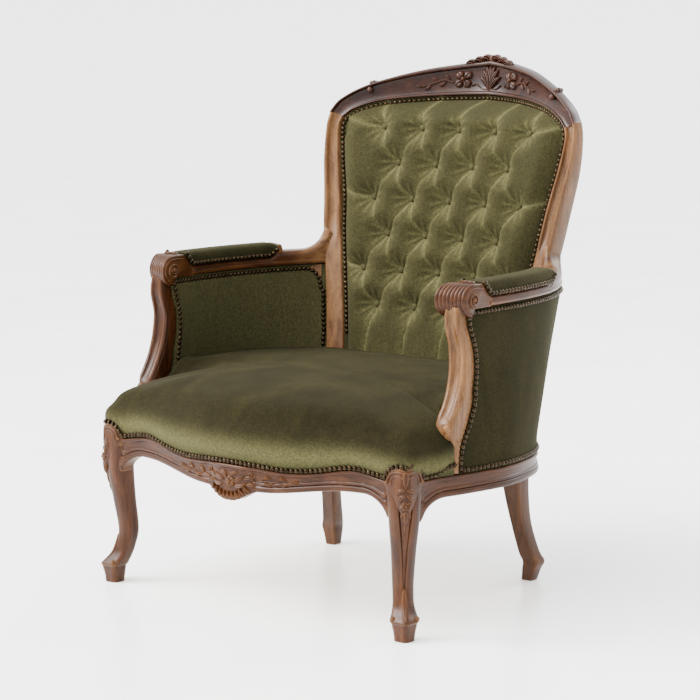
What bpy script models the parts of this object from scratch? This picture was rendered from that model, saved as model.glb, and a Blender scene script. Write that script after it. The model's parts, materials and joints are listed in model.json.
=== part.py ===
"""Armchair in the Louis XV manner: carved frame, closed sides, sprung seat, deep-buttoned back.

Metres, +Z up. The chair faces -Y, and +X is on the sitter's left. Every sub-part is one object.
Heights are measured from the top of the seat frame. Places across in the tables of side pieces are
measured outwards from the centre of a front foot.
"""

import functools
import math

import bmesh
import bpy
from mathutils import Matrix, Vector

# Main sizes: height of the seat frame's top over the floor, and the centre of a front foot
SEAT_FRAME_HEIGHT = 0.305
HALF_WIDTH = 0.350
FOOT_Y = -0.256

# Fits
CLEARANCE = 0.0003
TENON_LENGTH = 0.018
TENON_ROOT = 0.010
TENON_THICKNESS = 0.010
TENON_WIDTH = 0.022
POST_TENON_WIDTH = 0.014
FRAME_TENON_DROP = 0.043
REAR_TENON_DROP = 0.041

# Front legs: share of the leg's height, shift along the outward diagonal, side of the section
LEG_CORNER_RADIUS = 0.24
LEG_BLOCK_DROP = 0.023
LEG_BLOCK_SIDE = 0.040
LEG_BLOCK_RADIUS = 0.010
LEG_STATIONS = (
    (0.000, 0.0000, 0.0240),
    (0.050, 0.0000, 0.0300),
    (0.106, 0.0010, 0.0390),
    (0.131, -0.0010, 0.0395),
    (0.177, -0.0115, 0.0330),
    (0.234, -0.0200, 0.0305),
    (0.355, -0.0268, 0.0315),
    (0.550, -0.0193, 0.0365),
    (0.709, -0.0125, 0.0430),
    (0.809, -0.0106, 0.0460),
    (0.894, -0.0140, 0.0490),
    (1.000, -0.0200, 0.0512),
)

# Seat rails: the visible moulded part, and the rebated core under the velvet
RAIL_THICKNESS = 0.044
RAIL_REBATE = 0.008
RAIL_BEAD = 0.005
RAIL_SINK = 0.003
RAIL_LEDGE = -0.053
NAIL_LINE = -0.029
FRONT_LEAD = 0.006
FRONT_BOW = 0.054
FRONT_END_INSET = 0.020
FRONT_BOW_INSET = 0.015
FRONT_BOTTOM = -0.074
FRONT_ARCH_INSET = 0.105
FRONT_ARCH_RISE = 0.018
FRONT_NAIL_RISE = 0.011
FRONT_NAIL_RISE_RUN = 0.050
FRONT_NAIL_SINK = 0.005
FRONT_NAIL_SINK_X = 0.120
FRONT_NAIL_SINK_RUN = 0.060
KNEE_START_INSET = 0.090
FRONT_KNEE_DROP = 0.035
FRONT_KNEE_RUN = 0.050
SHELL_HALF = 0.062
SHELL_DROP = 0.020
SHELL_RELIEF = 0.010
SIDE_BOTTOM = -0.065
SIDE_KNEE_DROP = 0.034
SIDE_KNEE_RUN = 0.065
SIDE_PLAN = (
    (0.0105, FOOT_Y + 0.010),
    (0.0140, FOOT_Y + 0.056),
    (0.0345, -0.100),
    (0.0420, 0.000),
    (0.0110, 0.112),
    (-0.0510, 0.190),
    (-0.1180, 0.246),
)
SIDE_REAR_SHOULDER = (-0.100, 0.226)

# Corner blocks: plan points, the front ones from the centre of the foot
BLOCK_LOW = -0.047
BLOCK_HIGH = -0.005
FRONT_BLOCK = ((-0.028, 0.028), (-0.016, 0.111), (-0.105, 0.025))
REAR_BLOCK = ((-0.130, 0.222), (-0.230, 0.240), (-0.054, 0.132))

# Rear legs and stiles in one piece: share of the leg's height, inner x, outer x, front y, depth
REAR_LEG_STATIONS = (
    (0.000, -0.1185, -0.0960, 0.2435, 0.0230),
    (0.066, -0.1180, -0.0905, 0.2440, 0.0280),
    (0.118, -0.1170, -0.0850, 0.2440, 0.0320),
    (0.180, -0.1225, -0.0920, 0.2380, 0.0305),
    (0.361, -0.1300, -0.1010, 0.2240, 0.0300),
    (0.557, -0.1380, -0.1030, 0.2120, 0.0360),
    (0.770, -0.1450, -0.1030, 0.2050, 0.0430),
    (1.016, -0.1490, -0.1080, 0.2100, 0.0430),
)
# Back frame above the seat: inner edge x and z, outer edge x and z
STILE_STATIONS = (
    (-0.1510, 0.105, -0.1140, 0.105),
    (-0.1320, 0.210, -0.0960, 0.210),
    (-0.1120, 0.315, -0.0750, 0.313),
    (-0.1000, 0.395, -0.0630, 0.395),
    (-0.0850, 0.465, -0.0510, 0.469),
    (-0.0765, 0.523, -0.0485, 0.528),
    (-0.0820, 0.545, -0.0530, 0.556),
)
# Crest from its joint to its middle: share of the joint's x and rise over the joint, inner and outer edge
CREST_STATIONS = (
    (1.000, 0.000, 1.000, 0.000),
    (0.914, 0.017, 0.925, 0.027),
    (0.746, 0.032, 0.748, 0.056),
    (0.485, 0.040, 0.470, 0.082),
    (0.224, 0.044, 0.209, 0.096),
    (0.000, 0.046, 0.000, 0.105),
)
FRAME_DEPTH = 0.042
FRAME_EDGE = 0.005
STILE_COVE = 0.005
CREST_ROLL = 0.004
CREST_SINK = 0.004

# Surface of the back frame's front: lean, bow in plan, and the half width that the bow spans
BACK_Y = 0.306
BACK_Z = 0.545
BACK_LEAN = 0.19
BACK_BOW = 0.120
BACK_BOW_LOW = 0.080
BACK_HALF_INSET = 0.020
BACK_HALF_LOW_INSET = 0.088
BACK_LOW_Z = 0.105
BACK_HIGH_Z = 0.495

# Rear seat rail and lower back rail
REAR_RAIL_THICKNESS = 0.030
REAR_RAIL_INSET = 0.130
REAR_RAIL_TENON_Z = -0.023
LOWER_RAIL_BOTTOM = 0.041
LOWER_RAIL_TOP = 0.081
LOWER_RAIL_SET_BACK = 0.008
LOWER_RAIL_THICKNESS = 0.022
LOWER_RAIL_INSET = 0.138
STILE_SHOULDER_INSET = 0.148

# Arms: plan of the centre line from the front roll to the stile, and heights over the underside
ARM_PLAN = (
    (0.000, -0.137),
    (0.006, -0.060),
    (0.002, 0.050),
    (-0.018, 0.155),
    (-0.056, 0.243),
    (-0.089, 0.290),
)
ARM_UNDERSIDE = 0.257
ARM_ROLL_RADIUS = 0.029
ARM_ROLL_RISE = 0.015
ARM_TOP_RISE = 0.042
ARM_SADDLE_RISE = 0.019
ARM_REAR_DROP = 0.012
ARM_NECK_RUN = 0.048
ARM_UNDER_NECK_RUN = 0.003
ARM_HALF_WIDTH = 0.023
ARM_ROLL_HALF_WIDTH = 0.026
ARM_REAR_HALF_WIDTH = 0.017
ARM_EDGE_RADIUS = 0.010
ARM_PAD_START = 0.085
ARM_PAD_END = 0.310
ARM_PAD_CROWN = 0.026
ARM_PAD_OVERHANG = 0.0015
ARM_STEP_RUN = 0.001
ARM_FLARE_RADIUS = 0.040
ARM_FLARE_LIP = 0.004
ARM_FLARE_SPAN = 0.075
ARM_FLARE_FADE = 0.020
ARM_TENON_RUN = 0.033
ARM_TENON_RISE = 0.021

# Arm posts: share of the height from the side rail to the arm, centre x and y, half width, half depth
POST_FOOT_RISE = 0.003
POST_HEAD_RISE = 0.005
ARM_POST_STATIONS = (
    (0.000, 0.0150, -0.1390, 0.0095, 0.0085),
    (0.105, 0.0150, -0.1390, 0.0100, 0.0095),
    (0.182, 0.0130, -0.1385, 0.0125, 0.0140),
    (0.240, 0.0110, -0.1410, 0.0160, 0.0240),
    (0.287, 0.0075, -0.1375, 0.0185, 0.0275),
    (0.334, 0.0085, -0.1330, 0.0180, 0.0275),
    (0.409, 0.0085, -0.1220, 0.0175, 0.0245),
    (0.510, 0.0070, -0.1140, 0.0175, 0.0185),
    (0.611, 0.0038, -0.1076, 0.0162, 0.0165),
    (0.747, 0.0018, -0.1069, 0.0162, 0.0150),
    (0.882, 0.0024, -0.1180, 0.0160, 0.0160),
    (1.000, 0.0025, -0.1180, 0.0160, 0.0160),
)

# Side upholstery
SIDE_WALL_INSET = 0.022
SIDE_WALL_GAP = 0.0008
STUFFING_RAIL_BOTTOM = 0.025
STUFFING_RAIL_HEIGHT = 0.022
STUFFING_RAIL_HALF = 0.010
INSIDE_PAD_FACE = 0.0215
INSIDE_PAD_BULGE = 0.006
INSIDE_PAD_EDGE = 0.004
INSIDE_PAD_TAPER = 0.70
INSIDE_PAD_BOTTOM = 0.028
OUTSIDE_PANEL_FACE = 0.018
OUTSIDE_PANEL_THICKNESS = 0.004
OUTSIDE_PANEL_BULGE = 0.004
PANEL_STATIONS = 13
PANEL_LEVELS = 11

# Seat upholstery; each ring over the top has its scale, its heights in front, at the front corners and beside
# the arms as shares of the crown, how gently the front passes into the side, and how often its plan is evened
SEAT_CENTRE_Y = -0.030
SEAT_CROWN = 0.112
SEAT_BULGE = 0.009
SEAT_NOSE = 0.035
SEAT_ROUNDING = 0.006
SEAT_EAR_Y = -0.150
SEAT_EAR_RUN = 0.034
SEAT_EAR_STEP = 0.012
SEAT_EAR_TURN = 0.010
SEAT_UNDER_INSET = 0.004
SEAT_REAR_Y = 0.206
SEAT_REAR_BOW = 0.012
SEAT_REAR_INSET = 0.137
SEAT_GAP = 0.001
SEAT_WALL_Z = 0.050
SEAT_WALL_END = 0.76
SEAT_CORNER_RUN = 0.110
SEAT_CORNER_NOSE = 0.024
SEAT_RINGS = (
    (0.93, 0.68, 0.52, 0.91, 1.5, 0),
    (0.82, 0.81, 0.70, 0.95, 3.0, 2),
    (0.62, 0.92, 0.87, 0.98, 5.0, 8),
    (0.35, 0.98, 0.97, 1.00, 8.0, 16),
    (0.12, 1.00, 1.00, 1.00, 8.0, 16),
)
SEAT_RIM_FRONT = 0.45
SEAT_RIM_CORNER = 0.32
SEAT_RIM_SIDE = 0.86
HESSIAN_THICKNESS = 0.0012
HESSIAN_INSET = 0.038
HESSIAN_PLATEAU = 0.040
HESSIAN_FLAT_SHARE = 0.90
HESSIAN_PLATEAU_SHARE = 0.78
DUST_SAG = 0.036
DUST_INSET = 0.032
WEB_WIDTH = 0.050
WEB_THICKNESS = 0.0016
WEB_WEAVE = 0.0013
WEB_SAG = 0.022
WEB_DROP_RUN = 0.060
WEB_LAP = 0.010
WEB_TACKED = 0.030
SPRING_ROWS_X = (-0.130, 0.0, 0.130)
SPRING_ROWS_Y = (-0.150, -0.025, 0.100)
SPRING_RADIUS = 0.040
SPRING_WAIST = 0.62
SPRING_TURNS = 4
SPRING_STEPS = 6
SPRING_WIRE = 0.0019
SPRING_END_SHARE = 0.06

# Back upholstery
PAD_Y = 0.347
PAD_Z = 0.529
PAD_LEAN = 0.24
PAD_CURVE = 0.4
PAD_EDGE = 0.050
PAD_BACK = 0.020
PAD_RIM = 0.003
PAD_GAP = 0.0006
TUFT_ROWS = 6
TUFT_COLUMNS = 5
TUFT_TOP_Z = 0.529
TUFT_ROW_PITCH = 0.068
TUFT_PITCH = 0.088
TUFT_HEIGHT = 0.026
TUFT_DIMPLE = 0.012
TUFT_DIMPLE_RADIUS = 0.020
TUFT_FULL = 0.032
TUFT_ROUND = 2.2
TUFT_SWELL = 0.62
TUFT_TUCK = 0.70
TUFT_TUCK_RUN = 0.070
FOLD_SPREAD = 1.25
PAD_DIVISIONS = 3
PAD_BORDER_CELLS = 6
PAD_LOWER_CELLS = 2
PAD_UPPER_CELLS = 5
SHEET_COLUMN_STEP = 3
SHEET_ROW_STEP = 2
BACK_WEB_STEPS = 14
BACK_WEB_GAP = 0.0026
BACK_WEB_X = (-0.120, -0.040, 0.040, 0.120)
BACK_PANEL_DEPTH = 0.034
BACK_PANEL_THICKNESS = 0.006

SIDES = {"left": 1, "right": -1}


# Small maths


def mix(a, b, t):
    return a + (b - a) * t


def smooth(t):
    t = min(1.0, max(0.0, t))
    return t * t * (3 - 2 * t)


def spline(points, t):
    """Point at t in 0..1 on a smooth curve through the points, of any dimension."""
    last = len(points) - 1
    place = min(max(t, 0.0), 1.0) * last
    i = min(int(place), last - 1)
    f = place - i
    p1, p2 = points[i], points[i + 1]
    p0 = points[i - 1] if i > 0 else [2 * a - b for a, b in zip(p1, p2)]
    p3 = points[i + 2] if i + 2 <= last else [2 * b - a for a, b in zip(p1, p2)]
    return [
        0.5 * (2 * b + (c - a) * f + (2 * a - 5 * b + 4 * c - d) * f**2 + (3 * b - a - 3 * c + d) * f**3)
        for a, b, c, d in zip(p0, p1, p2, p3)
    ]


def resample(points, count):
    return [spline(points, i / (count - 1)) for i in range(count)]


def evenly(points, count):
    """Points at even distances along the smooth curve through the points."""
    fine = [Vector(p) for p in resample(points, 200)]
    run = [0.0]
    for a, b in zip(fine, fine[1:]):
        run.append(run[-1] + (b - a).length)
    even = []
    j = 0
    for i in range(count):
        want = run[-1] * i / (count - 1)
        while j < len(run) - 2 and run[j + 1] < want:
            j += 1
        even.append(fine[j].lerp(fine[j + 1], (want - run[j]) / (run[j + 1] - run[j])))
    return even, run[-1]


def normals(line):
    """Outward normals of a plan line that runs anticlockwise round the seat."""
    found = []
    for i in range(len(line)):
        d = line[min(i + 1, len(line) - 1)] - line[max(i - 1, 0)]
        found.append(Vector((d.y, -d.x)).normalized())
    return found


# Meshes and objects


def material(name, colour, roughness):
    made = bpy.data.materials.new(name)
    made.use_nodes = True
    shader = made.node_tree.nodes["Principled BSDF"]
    shader.inputs["Base Color"].default_value = (*colour, 1.0)
    shader.inputs["Roughness"].default_value = roughness
    shader.inputs["Metallic"].default_value = 0.0
    return made


def add_object(name, mesh_builder, look, chair):
    mesh_builder.normal_update()
    bmesh.ops.recalc_face_normals(mesh_builder, faces=mesh_builder.faces)
    if mesh_builder.calc_volume(signed=True) < 0:
        bmesh.ops.reverse_faces(mesh_builder, faces=mesh_builder.faces)
    mesh = bpy.data.meshes.new(name)
    mesh_builder.to_mesh(mesh)
    mesh_builder.free()
    mesh.shade_smooth()
    mesh.set_sharp_from_angle(angle=math.radians(35))
    made = bpy.data.objects.new(name, mesh)
    bpy.context.scene.collection.objects.link(made)
    made.parent = chair
    if look:
        mesh.materials.append(look)
    else:
        made.hide_render = True
        made.display_type = "WIRE"
    return made


def loft(rings, strips=False):
    """Closed solid through rings of equal point counts; each end is one flat face, or strips across it."""
    bm = bmesh.new()
    loops = [[bm.verts.new(p) for p in ring] for ring in rings]
    count = len(loops[0])
    for low, high in zip(loops, loops[1:]):
        for i in range(count):
            j = (i + 1) % count
            bm.faces.new((low[i], low[j], high[j], high[i]))
    for ring in (loops[0][::-1], loops[-1]):
        if strips:
            for i in range(count // 2 - 1):
                bm.faces.new((ring[i], ring[i + 1], ring[-2 - i], ring[-1 - i]))
        else:
            bm.faces.new(ring)
    return bm


def pillow(top, bottom):
    """Closed solid from rings that run inwards over the top and, apart, inwards under the bottom."""
    bm = bmesh.new()
    tops = [[bm.verts.new(p) for p in ring] for ring in top]
    bottoms = [[bm.verts.new(p) for p in ring] for ring in bottom]
    count = len(tops[0])

    def join(a, b):
        for i in range(count):
            j = (i + 1) % count
            bm.faces.new((a[i], a[j], b[j], b[i]))

    for rings in (tops, bottoms):
        for outer, inner in zip(rings, rings[1:]):
            join(outer, inner)
        middle = bm.verts.new(sum((v.co for v in rings[-1]), Vector()) / count)
        for i in range(count):
            bm.faces.new((rings[-1][i], rings[-1][(i + 1) % count], middle))
    join(bottoms[0], tops[0])
    return bm


def box(centre, along, across, size, grow=0.0):
    """Box of (length, width, thickness) with its length along one direction and its width across."""
    along = Vector(along).normalized()
    across = (Vector(across) - along * Vector(across).dot(along)).normalized()
    turn = Matrix((along, across, along.cross(across))).transposed()
    bm = bmesh.new()
    bmesh.ops.create_cube(bm, size=1.0)
    for v in bm.verts:
        v.co = Vector(centre) + turn @ Vector([c * (s + 2 * grow) for c, s in zip(v.co, size)])
    return bm


def side_of(rings, side):
    return [[Vector((p[0] * side, p[1], p[2])) for p in ring] for ring in rings]


def cut(target, tool, operation="DIFFERENCE", solver="EXACT"):
    step = target.modifiers.new(tool.name, "BOOLEAN")
    step.operation = operation
    step.solver = solver
    step.object = tool


def joint(chair, tenoned, mortised, at, along, across, thickness=TENON_THICKNESS, width=TENON_WIDTH):
    """A tenon on one piece and its mortise in the other; at is on the shoulder."""
    along = Vector(along).normalized()
    middle = Vector(at) + along * (TENON_LENGTH - TENON_ROOT) / 2
    size = (TENON_LENGTH + TENON_ROOT, width, thickness)
    label = f"{tenoned.name}.{mortised.name}"
    cut(tenoned, add_object(f"tenon.{label}", box(middle, along, across, size), None, chair), "UNION")
    cut(mortised, add_object(f"mortise.{label}", box(middle, along, across, size, CLEARANCE), None, chair))


def rounded_ring(cx, cy, half_x, half_y, radius, z):
    """Twelve points round a rectangle with rounded corners, at one height."""
    ring = []
    for turn in range(4):
        sx = (1, -1, -1, 1)[turn]
        sy = (1, 1, -1, -1)[turn]
        for step in (0, 1, 2):
            angle = math.radians(90 * turn + 45 * step)
            x = cx + sx * (half_x - radius) + radius * math.cos(angle)
            y = cy + sy * (half_y - radius) + radius * math.sin(angle)
            ring.append(Vector((x, y, z)))
    return ring


# Lines and surfaces that several pieces share


def outward(rows, *columns):
    """Table rows with the given columns turned from places beyond the foot's centre into places across."""
    return [[v + HALF_WIDTH if i in columns else v for i, v in enumerate(row)] for row in rows]


def front_y(x):
    share = min(1.0, abs(x) / (HALF_WIDTH - FRONT_BOW_INSET))
    return FOOT_Y - FRONT_LEAD - FRONT_BOW * math.cos(share * math.pi / 2) ** 2


def front_nail_line(x):
    arch_x = HALF_WIDTH - FRONT_ARCH_INSET
    rise = math.exp(-(((abs(x) - arch_x) / FRONT_NAIL_RISE_RUN) ** 2))
    sink = math.exp(-(((abs(x) - FRONT_NAIL_SINK_X) / FRONT_NAIL_SINK_RUN) ** 2))
    return NAIL_LINE + FRONT_NAIL_RISE * rise - FRONT_NAIL_SINK * sink


def front_bottom(x):
    x = abs(x)
    arch_x = HALF_WIDTH - FRONT_ARCH_INSET
    level = FRONT_BOTTOM + FRONT_ARCH_RISE * smooth((x - SHELL_HALF) / (arch_x - SHELL_HALF))
    knee = min(1.0, max(0.0, (x - HALF_WIDTH + KNEE_START_INSET) / FRONT_KNEE_RUN))
    shell = smooth((SHELL_HALF - x) / SHELL_HALF * 1.6)
    return level - FRONT_KNEE_DROP * knee**3 - SHELL_DROP * shell


@functools.cache
def side_line(count):
    return evenly(outward(SIDE_PLAN, 0), count)


def at_y(line, y):
    """Point and outward normal, at one y, of a plan line that runs from front to back."""
    across = normals(line)
    for i in range(len(line) - 1):
        a, b = line[i], line[i + 1]
        if y <= b.y or i == len(line) - 2:
            share = min(1.0, max(0.0, (y - a.y) / (b.y - a.y)))
            return a.lerp(b, share), across[i].lerp(across[i + 1], share).normalized()


def back_share(z):
    return min(1.0, max(0.0, (z - BACK_LOW_Z) / (BACK_HIGH_Z - BACK_LOW_Z)))


def back_front(x, z):
    """Y of the back frame's front face."""
    half = HALF_WIDTH - mix(BACK_HALF_LOW_INSET, BACK_HALF_INSET, back_share(z))
    share = min(1.0, abs(x) / half)
    bow = mix(BACK_BOW_LOW, BACK_BOW, back_share(z))
    return BACK_Y + BACK_LEAN * (z - BACK_Z) + bow * (0.5 + 0.5 * math.cos(math.pi * share))


@functools.cache
def stile_rows(count):
    return resample(outward(STILE_STATIONS, 0, 2), count)


@functools.cache
def crest_rows(count):
    """Rows of the crest's half, from its joint with the stile to the middle."""
    xi, zi, xo, zo = stile_rows(2)[-1]
    rows = [(xi * a, zi + up, xo * b, zo + rise) for a, up, b, rise in CREST_STATIONS]
    return resample(rows, count)


def stile_edge(z, column):
    """Place across of a stile's edge at a height; the column is that of the edge in the stile's rows."""
    rows = stile_rows(60)
    for low, high in zip(rows, rows[1:]):
        if low[column + 1] <= z <= high[column + 1]:
            share = (z - low[column + 1]) / (high[column + 1] - low[column + 1])
            return mix(low[column], high[column], share)
    return rows[0][column] if z < rows[0][column + 1] else rows[-1][column]


def back_inner_x(z):
    """Half width of the opening in the back frame at a height."""
    return stile_edge(z, 0)


def back_inner_top(x):
    """Height of the crest's lower edge over a place across the back."""
    rows = crest_rows(60)
    for outer, inner in zip(rows, rows[1:]):
        if abs(x) >= inner[0]:
            share = min(1.0, (abs(x) - inner[0]) / (outer[0] - inner[0]))
            return mix(inner[1], outer[1], share)
    return rows[-1][1]


@functools.cache
def arm_line(count):
    return evenly(outward(ARM_PLAN, 0), count)


def arm_at(run):
    """Point and outward normal of the arm's centre line at a distance from its front."""
    line, length = arm_line(81)
    across = normals(line)
    place = run / length * (len(line) - 1)
    i = min(int(place), len(line) - 2)
    return line[i].lerp(line[i + 1], place - i), across[i].lerp(across[i + 1], place - i).normalized()


def roll_height(run):
    return math.sqrt(max(0.0, ARM_ROLL_RADIUS**2 - (ARM_ROLL_RADIUS - run) ** 2))


def arm_underside(run):
    """Underside of the arm, round under the front roll and level behind it."""
    roll = ARM_UNDERSIDE + ARM_ROLL_RISE
    if run < ARM_ROLL_RADIUS:
        return roll - roll_height(run)
    neck = smooth((run - ARM_ROLL_RADIUS) / ARM_UNDER_NECK_RUN)
    return mix(roll - ARM_ROLL_RADIUS, ARM_UNDERSIDE, neck)


def arm_top(run):
    """Top of the arm before its sweep: roll, neck, saddle for the pad and the rear end."""
    roll = ARM_UNDERSIDE + ARM_ROLL_RISE
    if run < ARM_ROLL_RADIUS:
        return roll + roll_height(run)
    if ARM_PAD_START < run < ARM_PAD_END:
        return ARM_UNDERSIDE + ARM_SADDLE_RISE
    neck = smooth((run - ARM_ROLL_RADIUS) / ARM_NECK_RUN)
    level = mix(roll + ARM_ROLL_RADIUS, ARM_UNDERSIDE + ARM_TOP_RISE, neck)
    return level - ARM_REAR_DROP * (run > ARM_PAD_END)


def arm_flare(x, y):
    """Height of the hollow sweep in which the arm's rear rises along the front of the stile."""
    level = ARM_UNDERSIDE + ARM_TOP_RISE
    gap = back_front(x, level) - y
    ahead = min(max(0.0, ARM_FLARE_RADIUS + ARM_FLARE_LIP - gap), ARM_FLARE_RADIUS)
    inside = smooth(1 - (x - stile_edge(level, 2)) / ARM_FLARE_FADE)
    return inside * (ARM_FLARE_RADIUS - math.sqrt(ARM_FLARE_RADIUS**2 - ahead**2))


def arm_half_width(run):
    length = arm_line(81)[1]
    front = mix(ARM_ROLL_HALF_WIDTH, ARM_HALF_WIDTH, smooth((run - ARM_ROLL_RADIUS) / ARM_NECK_RUN))
    return mix(front, ARM_REAR_HALF_WIDTH, smooth((run - ARM_PAD_END) / (length - ARM_PAD_END)))


@functools.cache
def post_row(share):
    return spline(outward(ARM_POST_STATIONS, 1), share)


def post_z(share):
    return mix(NAIL_LINE + POST_FOOT_RISE, ARM_UNDERSIDE + POST_HEAD_RISE, share)


def post_rear(z):
    """Y of the arm post's rear face at a height."""
    rows = [post_row(i / 40) for i in range(41)]
    for low, high in zip(rows, rows[1:]):
        if post_z(high[0]) >= z:
            return max(low[2] + low[4], high[2] + high[4])
    return rows[-1][2] + rows[-1][4]


# Show wood


def leg_rings(grow=0.0):
    height = SEAT_FRAME_HEIGHT - LEG_BLOCK_DROP
    rings = []
    for share, shift, side in resample(LEG_STATIONS, 17):
        x, y = leg_centre(shift)
        half = side / 2 + grow
        z = share * height - SEAT_FRAME_HEIGHT
        rings.append(rounded_ring(x, y, half, half, LEG_CORNER_RADIUS * side + grow, z))
    x, y = leg_centre(LEG_STATIONS[-1][1])
    back = (LEG_STATIONS[-1][2] - LEG_BLOCK_SIDE) / 2
    half = LEG_BLOCK_SIDE / 2 + grow
    for z in (0.1 * LEG_BLOCK_DROP - LEG_BLOCK_DROP, grow):
        rings.append(rounded_ring(x - back, y + back, half, half, LEG_BLOCK_RADIUS + grow, z))
    return rings


def leg_centre(shift):
    return HALF_WIDTH + shift * math.sqrt(0.5), FOOT_Y - shift * math.sqrt(0.5)


def stile_section(depth, cove):
    """Share across, from the inner to the outer edge, and depth behind the front face."""
    edge = FRAME_EDGE
    return (
        (0.00, edge),
        (0.05, 0.000),
        (0.22, 0.000),
        (0.34, cove),
        (0.62, cove),
        (0.78, 0.000),
        (0.93, 0.000),
        (1.00, edge),
        (1.00, depth - edge),
        (0.90, depth),
        (0.10, depth),
        (0.00, depth - edge),
    )


def grown(share, behind, depth, grow):
    """Shift across and backwards that makes a stile's section larger all round."""
    out = grow if share == 1.0 else -grow if share == 0.0 else 0.0
    return out, -grow if behind < depth / 2 else grow


def rear_leg_rings(grow=0.0, cove=STILE_COVE):
    rings = []
    for up, xi, xo, front, depth in resample(outward(REAR_LEG_STATIONS, 1, 2), 12):
        z = (up - 1) * SEAT_FRAME_HEIGHT
        ring = []
        for share, behind in stile_section(depth, 0.0):
            out, back = grown(share, behind, depth, grow)
            ring.append(Vector((mix(xi, xo, share) + out, front + behind + back, z)))
        rings.append(ring)
    for xi, zi, xo, zo in stile_rows(12):
        ring = []
        for share, behind in stile_section(FRAME_DEPTH, cove):
            out, back = grown(share, behind, FRAME_DEPTH, grow)
            x = mix(xi, xo, share)
            z = mix(zi, zo, share)
            ring.append(Vector((x + out, back_front(x, z) + behind + back, z)))
        rings.append(ring)
    return rings


def crest_rings():
    half = crest_rows(13)
    whole = half + [(-xi, zi, -xo, zo) for xi, zi, xo, zo in reversed(half[:-1])]
    section = (
        (0.00, FRAME_EDGE),
        (0.04, 0.000),
        (0.13, 0.000),
        (0.20, CREST_SINK),
        (0.50, CREST_SINK / 2),
        (0.80, CREST_SINK),
        (0.86, -CREST_ROLL),
        (0.96, -CREST_ROLL),
        (1.00, FRAME_EDGE),
        (1.00, FRAME_DEPTH - FRAME_EDGE),
        (0.92, FRAME_DEPTH),
        (0.08, FRAME_DEPTH),
    )
    rings = []
    for xi, zi, xo, zo in whole:
        ring = []
        for share, behind in section:
            x = mix(xi, xo, share)
            z = mix(zi, zo, share)
            ring.append(Vector((x, back_front(x, z) + behind, z)))
        rings.append(ring)
    xi, zi, xo, zo = half[0]
    off = Vector((zi - zo, 0.0, xo - xi)).normalized() * CLEARANCE
    for end, sign in ((rings[0], 1), (rings[-1], -1)):
        for p in end:
            p += Vector((off.x * sign, 0.0, off.z))
    return rings


def rail_section(bottom, nail, grow):
    """Section of a seat rail as depth in from the outer face, and height."""
    bead = RAIL_BEAD
    fillet = RAIL_SINK / 3
    return (
        (RAIL_THICKNESS + grow, RAIL_LEDGE - grow),
        (RAIL_THICKNESS / 2, RAIL_LEDGE - grow),
        (RAIL_THICKNESS / 2, bottom - grow),
        (bead, bottom - grow),
        (-grow, bottom + bead * 0.6),
        (-grow, bottom + bead * 1.4),
        (RAIL_SINK - grow, bottom + bead * 2.2),
        (RAIL_SINK - grow, nail - bead * 1.2),
        (fillet - grow, nail - bead * 0.5),
        (fillet - grow, nail),
        (RAIL_REBATE - grow, nail + CLEARANCE),
        (RAIL_REBATE - grow, grow),
        (RAIL_THICKNESS + grow, grow),
    )


def front_rail_rings(grow=0.0):
    end = HALF_WIDTH - FRONT_END_INSET
    line = [Vector((x, front_y(x))) for x in (end * i / 11 for i in range(-11, 12))]
    rings = []
    for p, n in zip(line, normals(line)):
        relief = SHELL_RELIEF * smooth((SHELL_HALF - abs(p.x)) / SHELL_HALF * 1.5)
        ring = []
        for k, (depth, z) in enumerate(rail_section(front_bottom(p.x), front_nail_line(p.x), grow)):
            out = relief if 3 <= k <= 8 else 0.0
            ring.append(Vector((p.x - n.x * (depth - out), p.y - n.y * (depth - out), z)))
        rings.append(ring)
    return rings


def side_rail_rings(grow=0.0):
    line, length = side_line(16)
    rings = []
    for i, (p, n) in enumerate(zip(line, normals(line))):
        run = length * i / (len(line) - 1)
        bottom = SIDE_BOTTOM - SIDE_KNEE_DROP * max(0.0, 1 - run / SIDE_KNEE_RUN) ** 2
        section = rail_section(bottom, NAIL_LINE, grow)
        rings.append([Vector((p.x - n.x * d, p.y - n.y * d, z)) for d, z in section])
    return rings


def back_rail_rings(low, high, set_back, thickness, end_inset, grow=0.0, count=11):
    """Bowed rail between the stiles, set back from the back frame's front face."""
    reach = HALF_WIDTH - end_inset
    rings = []
    for i in range(count):
        x = mix(-reach, reach, i / (count - 1))
        ring = []
        for behind, z in ((-grow, high + grow), (-grow, low - grow)):
            ring.append(Vector((x, back_front(x, z) + set_back + behind, z)))
        for behind, z in ((thickness + grow, low - grow), (thickness + grow, high + grow)):
            ring.append(Vector((x, back_front(x, z) + set_back + behind, z)))
        rings.append(ring)
    return rings


def rear_rail_rings(grow=0.0):
    return back_rail_rings(RAIL_LEDGE, 0.0, 0.0, REAR_RAIL_THICKNESS, REAR_RAIL_INSET, grow)


def lower_rail_rings():
    return back_rail_rings(
        LOWER_RAIL_BOTTOM, LOWER_RAIL_TOP, LOWER_RAIL_SET_BACK, LOWER_RAIL_THICKNESS, LOWER_RAIL_INSET
    )


def arm_post_rings(grow=0.0):
    rings = []
    for i in range(15):
        share, x, y, half_x, half_y = post_row(i / 14)
        z = post_z(share) - (grow if i == 0 else 0.0)
        rings.append(rounded_ring(x, y, half_x + grow, half_y + grow, 0.45 * half_y + grow, z))
    return rings


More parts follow.
